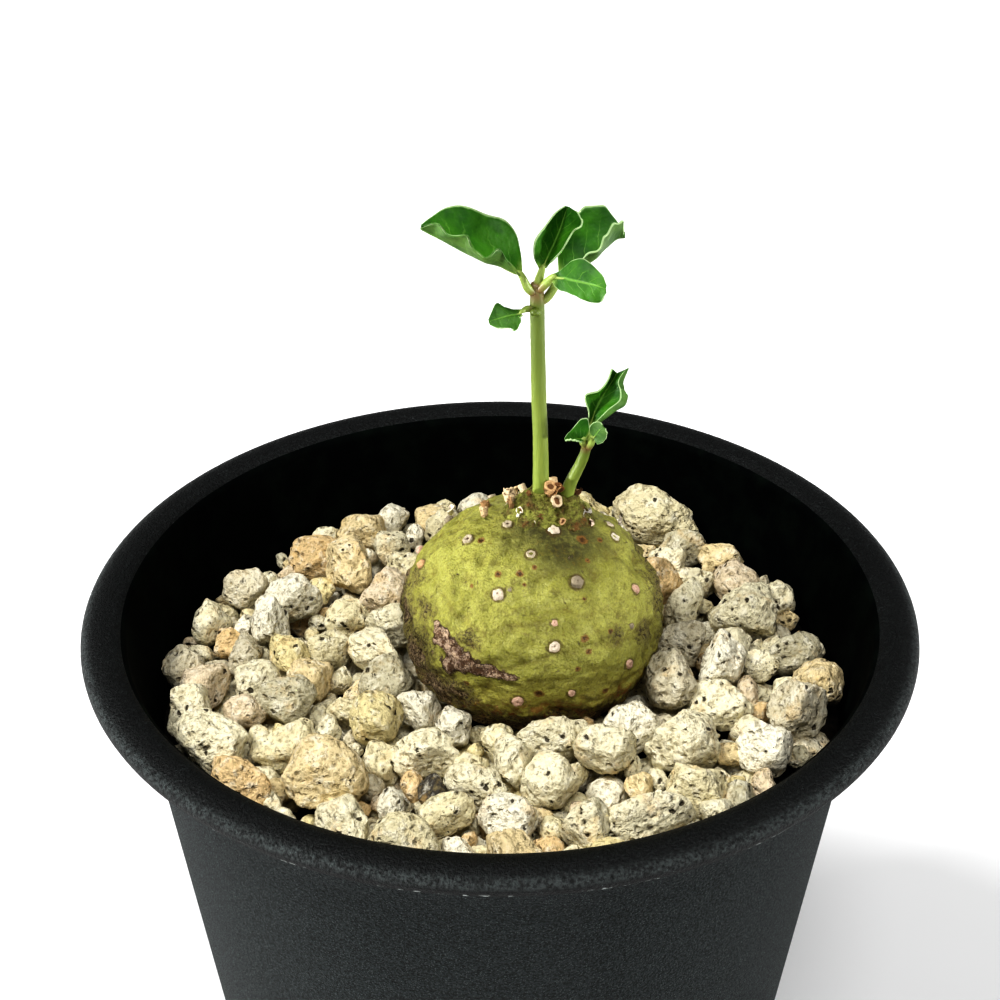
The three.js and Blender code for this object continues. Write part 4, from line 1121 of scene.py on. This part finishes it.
def stem_skin(name, foot, tip, flush_from):
    """Living green stem between two heights, flushed from a third; all in millimetres."""
    material, tree, place = finish(name, Roughness=0.42, Specular_IOR_Level=0.4, Subsurface_Weight=0.15,
                                   Subsurface_Scale=0.0005, Subsurface_Radius=(0.8, 1.0, 0.3))
    height = height_in(tree, place)
    ribs = node(tree, "Mapping", {"Vector": place, "Scale": (1.0, 1.0, 0.12)}).outputs[0]
    stripe = clouds(tree, ribs, 0.35, 2.0, 0.6)
    cells = grain_on(tree, place, 5000.0)["Grain"]
    skin = tint(tree, fade(tree, height, foot / 1000, tip / 1000), colour(STEM_PALE), colour(STEM_OLIVE))
    skin = layered(tree, skin, (stripe, 0.35, 0.7, 0.4, "5f7230"))
    flushed = times(tree, fade(tree, height, flush_from / 1000, (tip - 0.2) / 1000),
                    fade(tree, clouds(tree, place, 0.9, 2.0), 0.3, 0.55, 0.45, 1.0), 0.75)
    skin = tint(tree, flushed, skin, colour(STEM_FLUSH))
    return dressed(material, skin, raised(tree, cells, 0.02, raised(tree, stripe, 0.08)))


SHOOTS = {"main": ([(MAIN_STEM, 48, 14, 0.03, 1), (STEM_BUMP, 24, 6, 0.06, 2)], (93, 117, 114.8)),
          "side": ([(SIDE_STEM, 48, 14, 0.03, 4)], (92, 99, 97.8))}
for side, (runs, heights) in SHOOTS.items():
    shoot_shape = bmesh.new()
    for run in runs:
        ringed_run(shoot_shape, *run)
    tidied(shoot_shape)
    skin = stem_skin(side + " stem skin", *heights)
    in_place(side + "_shoot", shoot_shape, skin, "stem_skin", side + "_stem")


# ---- The leaves -------------------------------------------------------------
# Thin, soft blades on short stalks, folded along the midrib like an open book. Their
# upper face is deep green, the under side greyer, and the margin a pale crisped hem.

BLADE_THICKNESS = 0.17
BLADE_SINK = 0.12
STEPS_ACROSS = 24
STEPS_ALONG = 64

# Each leaf: its stalk, its midrib, and its far and near margins, as points that a smooth
# line runs through. The near margin of a rolled leaf turns over from that share of its
# width, by that much; a pale leaf has as much of the under side's green on its face, as
# painted sheen: the paler look of a face seen at a grazing angle.
LEAVES = {
    "leaf_left": {
        "stalk": [(3.3, 0.1, 116.6), (2.7, -0.1, 117.3)],
        "midrib": [(2.0, -0.4, 118.9), (0.5, -0.8, 119.9), (-2.6, -1.1, 121.3), (-5.6, -1.4, 123.2),
                   (-7.6, -1.7, 124.5)],
        "far": [(2.2, 0, 119.2), (2, 1.2, 120.9), (1.1, 2.6, 122.9), (-1.3, 3, 123.9), (-4.3, 2, 125.3),
                (-6.2, 0.2, 125.2), (-7.5, -1.4, 124.8)],
        "near": [(2, -0.8, 119), (0.9, -2.6, 121.3), (-0.3, -3.6, 123), (-1.5, -4.3, 122.5),
                 (-2.5, -4, 123.4), (-3.2, -3.9, 124.5), (-5.1, -3.4, 124.5), (-5.9, -2.4, 125.2),
                 (-7.6, -2, 124.8)],
        "rolled": (0.88, (0.0, -0.05, -0.42))},
    "leaf_upright": {
        "stalk": [(3.65, 0.4, 117.0), (3.9, 0.6, 117.9)],
        "midrib": [(4.2, 0.4, 119.2), (4.6, 0.5, 120.2), (5.4, 1.1, 121.8), (6.1, 1.7, 123.6),
                   (6.6, 2.3, 125)],
        "far": [(3.8, 0.3, 119.3), (3.4, -0.3, 120.7), (3.5, -0.6, 122.7), (4.4, 0.2, 123.7),
                (5.5, 1.2, 124.8), (6.4, 2.1, 125.1)],
        "near": [(4.6, 0.3, 119.3), (5, -0.3, 120.3), (6.2, -0.5, 122), (7, -0.5, 123.6),
                 (7.9, -0.3, 124.3), (7.7, 0.5, 124.9), (6.8, 2.2, 125)]},
    "leaf_right_back": {
        "stalk": [(3.9, 0.5, 115.3), (4.75, 0.6, 115.9), (5.5, 0.9, 117)],
        "midrib": [(6.1, 1.2, 117.9), (7.3, 1.6, 118.6), (9.1, 2.2, 119.3), (10.5, 2.6, 120.5),
                   (11.6, 2.8, 121.4), (12.4, 2.9, 121.5)],
        "far": [(5.8, 1.5, 118.2), (5.8, 3, 120.1), (7, 4.4, 122.5), (8.4, 5, 123.7), (10.3, 5, 123.9),
                (11.3, 4.2, 123), (12.4, 3.2, 121.8)],
        "near": [(6.3, 0.8, 118), (7.2, 0.2, 119.5), (8.3, -0.3, 120.9), (9.7, -0.4, 122),
                 (10.3, 0.2, 123.1), (11.2, 1, 123.8), (12, 1.9, 123.6), (12.3, 2.6, 121.9)]},
    "leaf_right_front": {
        "stalk": [(3.9, 0.1, 116.9), (4.65, -0.25, 117.9)],
        "midrib": [(5.2, -0.9, 118.8), (5.9, -1.3, 119.1), (6.8, -1.9, 119.1), (8.4, -2.9, 119.2),
                   (9.5, -3.7, 119.3), (10.2, -4.1, 119.2)],
        "far": [(5, -0.7, 119.1), (5.8, -1, 119.6), (7, -1, 120.7), (8.1, -1.3, 121.1),
                (9.4, -2.4, 120.5), (10, -3.3, 120.1), (10.3, -3.9, 119.5)],
        "near": [(5.1, -1.2, 118.5), (5.7, -1.8, 118), (6.7, -2.6, 118), (7.7, -3.3, 117.8),
                 (8.7, -3.8, 117.6), (9.7, -4.2, 117.8), (10.2, -4.3, 118.8)],
        "pale": 0.1},
    "leaf_small_left": {
        "stalk": [(3.4, 0.1, 114.8), (2.68, -0.1, 114.9)],
        "midrib": [(2.2, -0.6, 114.9), (1.6, -0.8, 114.8), (0.8, -1, 114.7), (-0.3, -1.3, 114.5),
                   (-1.1, -1.6, 114.4)],
        "far": [(2.2, -0.3, 115.1), (1.3, -0.1, 115), (0.4, 0.1, 115.2), (-0.3, 0.1, 115.6),
                (-0.8, -0.7, 115.1), (-1.1, -1.4, 114.6)],
        "near": [(2.1, -0.9, 114.7), (2, -1.5, 114.1), (1.5, -1.9, 113.5), (1, -1.9, 113.8),
                 (-0.3, -2, 113.9), (-1, -1.8, 114.1)],
        "pale": 0.35},
    "side_leaf_main": {
        "stalk": [(9.05, 0.5, 98.5), (9.15, 0.75, 99.6)],
        "midrib": [(9.3, 0.9, 100.9), (9.7, 1, 102.5), (10.4, 1.3, 104.1), (11.3, 1.8, 105.4),
                   (12, 2.3, 106.5)],
        "far": [(9.1, 0.8, 101.2), (9.2, 0.5, 102.9), (8.8, 0.2, 105), (10.1, 0.5, 105.3),
                (11, 1.1, 106.1), (11.5, 1.7, 107.3)],
        "near": [(9.6, 0.7, 101), (10.6, 0.1, 102.1), (11.7, -0.1, 103.2), (13, 0.3, 104.1),
                 (12.9, 0.6, 105.1), (12.6, 0.9, 105.8), (12.8, 1.2, 106.6), (13.2, 1.9, 107.3)],
        "rolled": (0.72, (0.6, -0.1, -0.5))},
    "side_leaf_left": {
        "stalk": [(8.9, 0.3, 98.8), (8.5, 0.1, 99.5)],
        "midrib": [(8.85, 0.2, 99.9), (8.3, 0, 100), (7.5, -0.3, 100.1), (6.75, -0.6, 100.25)],
        "far": [(9.15, 0.3, 100.4), (9.2, 0.3, 101.3), (8.95, 0.4, 102.2), (8.3, 0.5, 102),
                (7.6, 0.3, 101.2), (6.9, -0.1, 100.6), (6.65, -0.5, 100.35)],
        "near": [(8.65, -0.2, 99.85), (8.2, -0.9, 100.3), (7.7, -1.2, 100.65), (7.1, -1, 100.6),
                 (6.7, -0.75, 100.35)]},
    "side_leaf_lobe": {
        "stalk": [(9.2, 0.1, 98.8), (9.45, -0.3, 99.6)],
        "midrib": [(9.5, -0.6, 100.4), (9.8, -0.9, 101), (10.1, -1.2, 101.7), (10.5, -1.4, 102.2)],
        "far": [(9.3, -0.5, 100.6), (9.2, -0.6, 101.7), (9.6, -0.8, 102.4), (10.2, -1.1, 102.6),
                (10.4, -1.3, 102.4)],
        "near": [(9.7, -0.8, 100.3), (10, -1.2, 100.1), (10.6, -1.6, 100.6), (10.9, -1.7, 101.5),
                 (10.7, -1.6, 102.1)],
        "pale": 1.0},
}


def smooth_line(points, t):
    """The place at share t of a smooth line through the points, evened out by their distances."""
    points = [Vector(point) for point in points]
    place = (len(points) - 1) * t
    i = min(int(place), len(points) - 2)
    share = place - i
    b, c = points[i], points[i + 1]
    a = points[i - 1] if i > 0 else 2 * b - c
    d = points[i + 2] if i + 2 < len(points) else 2 * c - b
    gap_ab = max(1e-4, (b - a).length ** 0.5)
    gap_bc = max(1e-4, (c - b).length ** 0.5)
    gap_cd = max(1e-4, (d - c).length ** 0.5)
    leave = ((b - a) / gap_ab - (c - a) / (gap_ab + gap_bc) + (c - b) / gap_bc) * gap_bc
    arrive = ((c - b) / gap_bc - (d - b) / (gap_bc + gap_cd) + (d - c) / gap_cd) * gap_bc
    return (b + leave * share + (3 * (c - b) - 2 * leave - arrive) * share ** 2
            + (2 * (b - c) + leave + arrive) * share ** 3)


def leaf_skin():
    material, tree, place = finish("leaf", Roughness=0.5, Specular_IOR_Level=0.2, Subsurface_Weight=0.1,
                                   Subsurface_Scale=0.0004, Subsurface_Radius=(0.4, 1.0, 0.2))
    spot = node(tree, "SeparateXYZ", {0: node(tree, "UVMap", uv_map="blade").outputs[0]})
    along, side = spot.outputs["X"], spot.outputs["Y"]
    off_rib = times(tree, off_centre(tree, side), 2.0)
    off_hem = maths(tree, "DIVIDE", off_rib, mark(tree, "hem place"))
    off_hem = plus(tree, off_hem, clouds(tree, place, 0.6, 2.0), 0.04)
    under = maths(tree, "MAXIMUM", mark(tree, "under side"), fade(tree, off_hem, 1.07, 1.1))
    broad = clouds(tree, place, 2.4, 3.0, 0.6)
    shade = fade(tree, broad, 0.3, 0.7)
    upper = tint(tree, shade, colour("1f4c0c"), colour("376815"))
    lower = tint(tree, shade, colour("3c5c2b"), colour("557438"))
    blade = tint(tree, under, upper, lower)
    # Side veins leave the midrib at a slant and fade towards the hem.
    comb = maths(tree, "SUBTRACT", times(tree, along, 6.5), times(tree, off_rib, 1.3))
    comb = maths(tree, "FRACT", plus(tree, comb, clouds(tree, place, 1.3, 2.0), 0.8))
    veins = times(tree, fade(tree, off_centre(tree, comb), 0.07, 0.0), fade(tree, off_rib, 0.85, 0.3), 0.3)
    rib = times(tree, fade(tree, plus(tree, off_rib, along, 0.04), 0.12, 0.04), 0.5)
    lines = maths(tree, "MAXIMUM", veins, rib)
    blade = tint(tree, lines, blade, colour("76a046"))
    blade = layered(tree, blade, (along, 0.16, 0.0, 0.6, "84994a"))
    hem = times(tree, fade(tree, off_hem, 0.97, 1.01), fade(tree, off_hem, 1.08, 1.05), 0.8)
    blade = tint(tree, hem, blade, colour("a3b98a"))
    cells = grain_on(tree, place, 4500.0)["Grain"]
    normal = raised(tree, plus(tree, times(tree, cells, 0.12), lines, -0.6), 0.1)
    return dressed(material, blade, raised(tree, broad, 0.25, normal))


def stalk_skin():
    material, tree, place = finish("leaf stalk", Roughness=0.42, Specular_IOR_Level=0.4)
    mottle = clouds(tree, place, 0.8, 3.0)
    greened = fade(tree, plus(tree, mark(tree, "reach"), mottle, 0.25), 0.1, 0.42)
    skin = tint(tree, greened, colour("6f5838"), colour("84964c"))
    return dressed(material, skin, raised(tree, mottle, 0.06))


leaf_green = leaf_skin()
stalk_green = stalk_skin()
for order, (name, leaf) in enumerate(LEAVES.items()):
    blade = bmesh.new()
    under = blade.verts.layers.float.new("under side")
    hem_place = blade.verts.layers.float.new("hem place")
    rolled_from, roll = leaf.get("rolled", (1.0, (0, 0, 0)))
    blade_map = blade.loops.layers.uv.new("blade")
    grid = bmesh.ops.create_grid(blade, x_segments=STEPS_ALONG, y_segments=STEPS_ACROSS, size=1)["verts"]
    for face in blade.faces:
        for corner in face.loops:
            corner[blade_map].uv = ((corner.vert.co.x + 1) / 2, (corner.vert.co.y + 1) / 2)
    for point in grid:
        along = (point.co.x + 1) / 2
        side = point.co.y
        far = side > 0
        middle = smooth_line(leaf["midrib"], along)
        hem = smooth_line(leaf["far" if far else "near"], along)
        other = smooth_line(leaf["near" if far else "far"], along)
        edge, turn_down = 1.0, Vector((0, 0, 0))
        if side < 0:
            edge, turn_down = rolled_from, Vector(roll) * math.sin(math.pi * along) ** 0.6
        point[hem_place] = edge
        span = (hem - middle).length
        spot = middle.lerp(hem - turn_down, min(1, abs(side) / edge))
        spot += turn_down * max(0, abs(side) - edge) / max(0.01, 1 - edge)
        fold = (hem - middle).normalized() + (other - middle).normalized()
        crisp = (0.015 if far else 0.05) * span * abs(side) ** 3 * math.sin(along * 34 + order * 1.7)
        crisp += 0.02 * span * abs(side) ** 2 * noise.noise(Vector((along * 9, side * 3, order * 5)))
        belly = 0.10 * span * math.sin(math.pi * abs(side)) * math.sin(math.pi * min(1, along * 1.15))
        spot += (crisp - belly) * (fold.normalized() if fold.length > 0.05 else Vector((0, 0, 1)))
        point.co = spot - Vector((0, 0, BLADE_SINK))
    blade.normal_update()
    # A blade that came out face down is turned over before it gets its under side.
    if sum(face.normal.z - face.normal.y for face in blade.faces) < 0:
        bmesh.ops.reverse_faces(blade, faces=blade.faces)
    thickened(blade, BLADE_THICKNESS)
    # A pale leaf's face takes that share of the under side's green: painted sheen.
    for i, point in enumerate(blade.verts):
        point[under] = 1.0 if i >= len(grid) else leaf.get("pale", 0.0)
    in_place(name + "_blade", blade, leaf_green, "leaf", name)

    stalk = bmesh.new()
    reach = stalk.verts.layers.float.new("reach")
    thick = 0.42 if order < 4 else 0.32
    line = [(*point, thick * 1.05) for point in leaf["stalk"]] + [(*leaf["midrib"][0], thick * 0.7)]
    for share, taper in ((0.12, 0.36), (0.3, 0.16)):
        spot = smooth_line(leaf["midrib"], share)
        line.append((spot.x, spot.y, spot.z - 0.2, thick * taper))
    made = ringed_run(stalk, line, 20, 8, 0.02, order)
    for i, point in enumerate(made):
        point[reach] = i / len(made)
    tidied(stalk)
    in_place(name + "_stalk", stalk, stalk_green, "leaf")


# ---- The studio -------------------------------------------------------------
# A plain white floor under an even pale light, with a key lamp above and to the left, a
# front lamp overhead and a low one at each side. The camera looks down over the rim.

CAMERA_AIM = Vector((0.0, 0.0, 0.09245))
CAMERA_DISTANCE = 0.220
CAMERA_RISE = math.radians(31.9)
LAMP_AIM = Vector((0, 0, 0.08))

# Each lamp: place, width, power in watts.
LAMPS = {"key": ((-1.1, -0.3, 1.75), 0.6, 31.0), "front": ((0.15, -0.95, 1.8), 0.8, 18.0),
         "left": ((-1.3, -0.35, 0.055), 0.1, 20.0), "right": ((1.3, -0.35, 0.1), 0.18, 14.0)}


def stood(name, data, place=None, aim=None):
    """Adds an object to the scene, aimed from its place if it has one."""
    thing = bpy.data.objects.new(name, data)
    if place is not None:
        turn = (aim - place).to_track_quat("-Z", "Y").to_matrix().to_4x4()
        thing.matrix_world = Matrix.Translation(place) @ turn
    bpy.context.scene.collection.objects.link(thing)
    return thing


floor_shape = bmesh.new()
bmesh.ops.create_grid(floor_shape, x_segments=2, y_segments=2, size=3.0)
floor_mesh = bpy.data.meshes.new("studio_floor")
floor_shape.to_mesh(floor_mesh)
floor_shape.free()
floor_finish, floor_tree, floor_place = finish("floor paper", Roughness=0.7)
paper = clouds(floor_tree, floor_place, 60.0, 2.0)
paper = tint(floor_tree, fade(floor_tree, paper, 0.3, 0.7), colour("f2f2f2"), colour("f7f7f7"))
floor_mesh.materials.append(dressed(floor_finish, paper, None))
floor = stood("studio_floor", floor_mesh)

for name, (place, size, power) in LAMPS.items():
    lamp = bpy.data.lights.new(name, "AREA")
    lamp.shape = "DISK"
    lamp.size = size
    lamp.energy = power
    stood(name, lamp, Vector(place), LAMP_AIM)

scene = bpy.context.scene
scene.world = bpy.data.worlds.new("studio light")
scene.world.use_nodes = True
light = scene.world.node_tree.nodes["Background"].inputs
light["Color"].default_value = (1, 1, 1, 1)
light["Strength"].default_value = 0.22
scene.view_settings.view_transform = "Standard"
scene.view_settings.look = "High Contrast"

lens = bpy.data.cameras.new("camera")
lens.lens = 75.3
lens.sensor_width = 36
lens.sensor_height = 36
lens.clip_start = 0.01
reach = Vector((0, -math.cos(CAMERA_RISE), math.sin(CAMERA_RISE))) * CAMERA_DISTANCE
scene.camera = stood("camera", lens, CAMERA_AIM + reach, CAMERA_AIM)
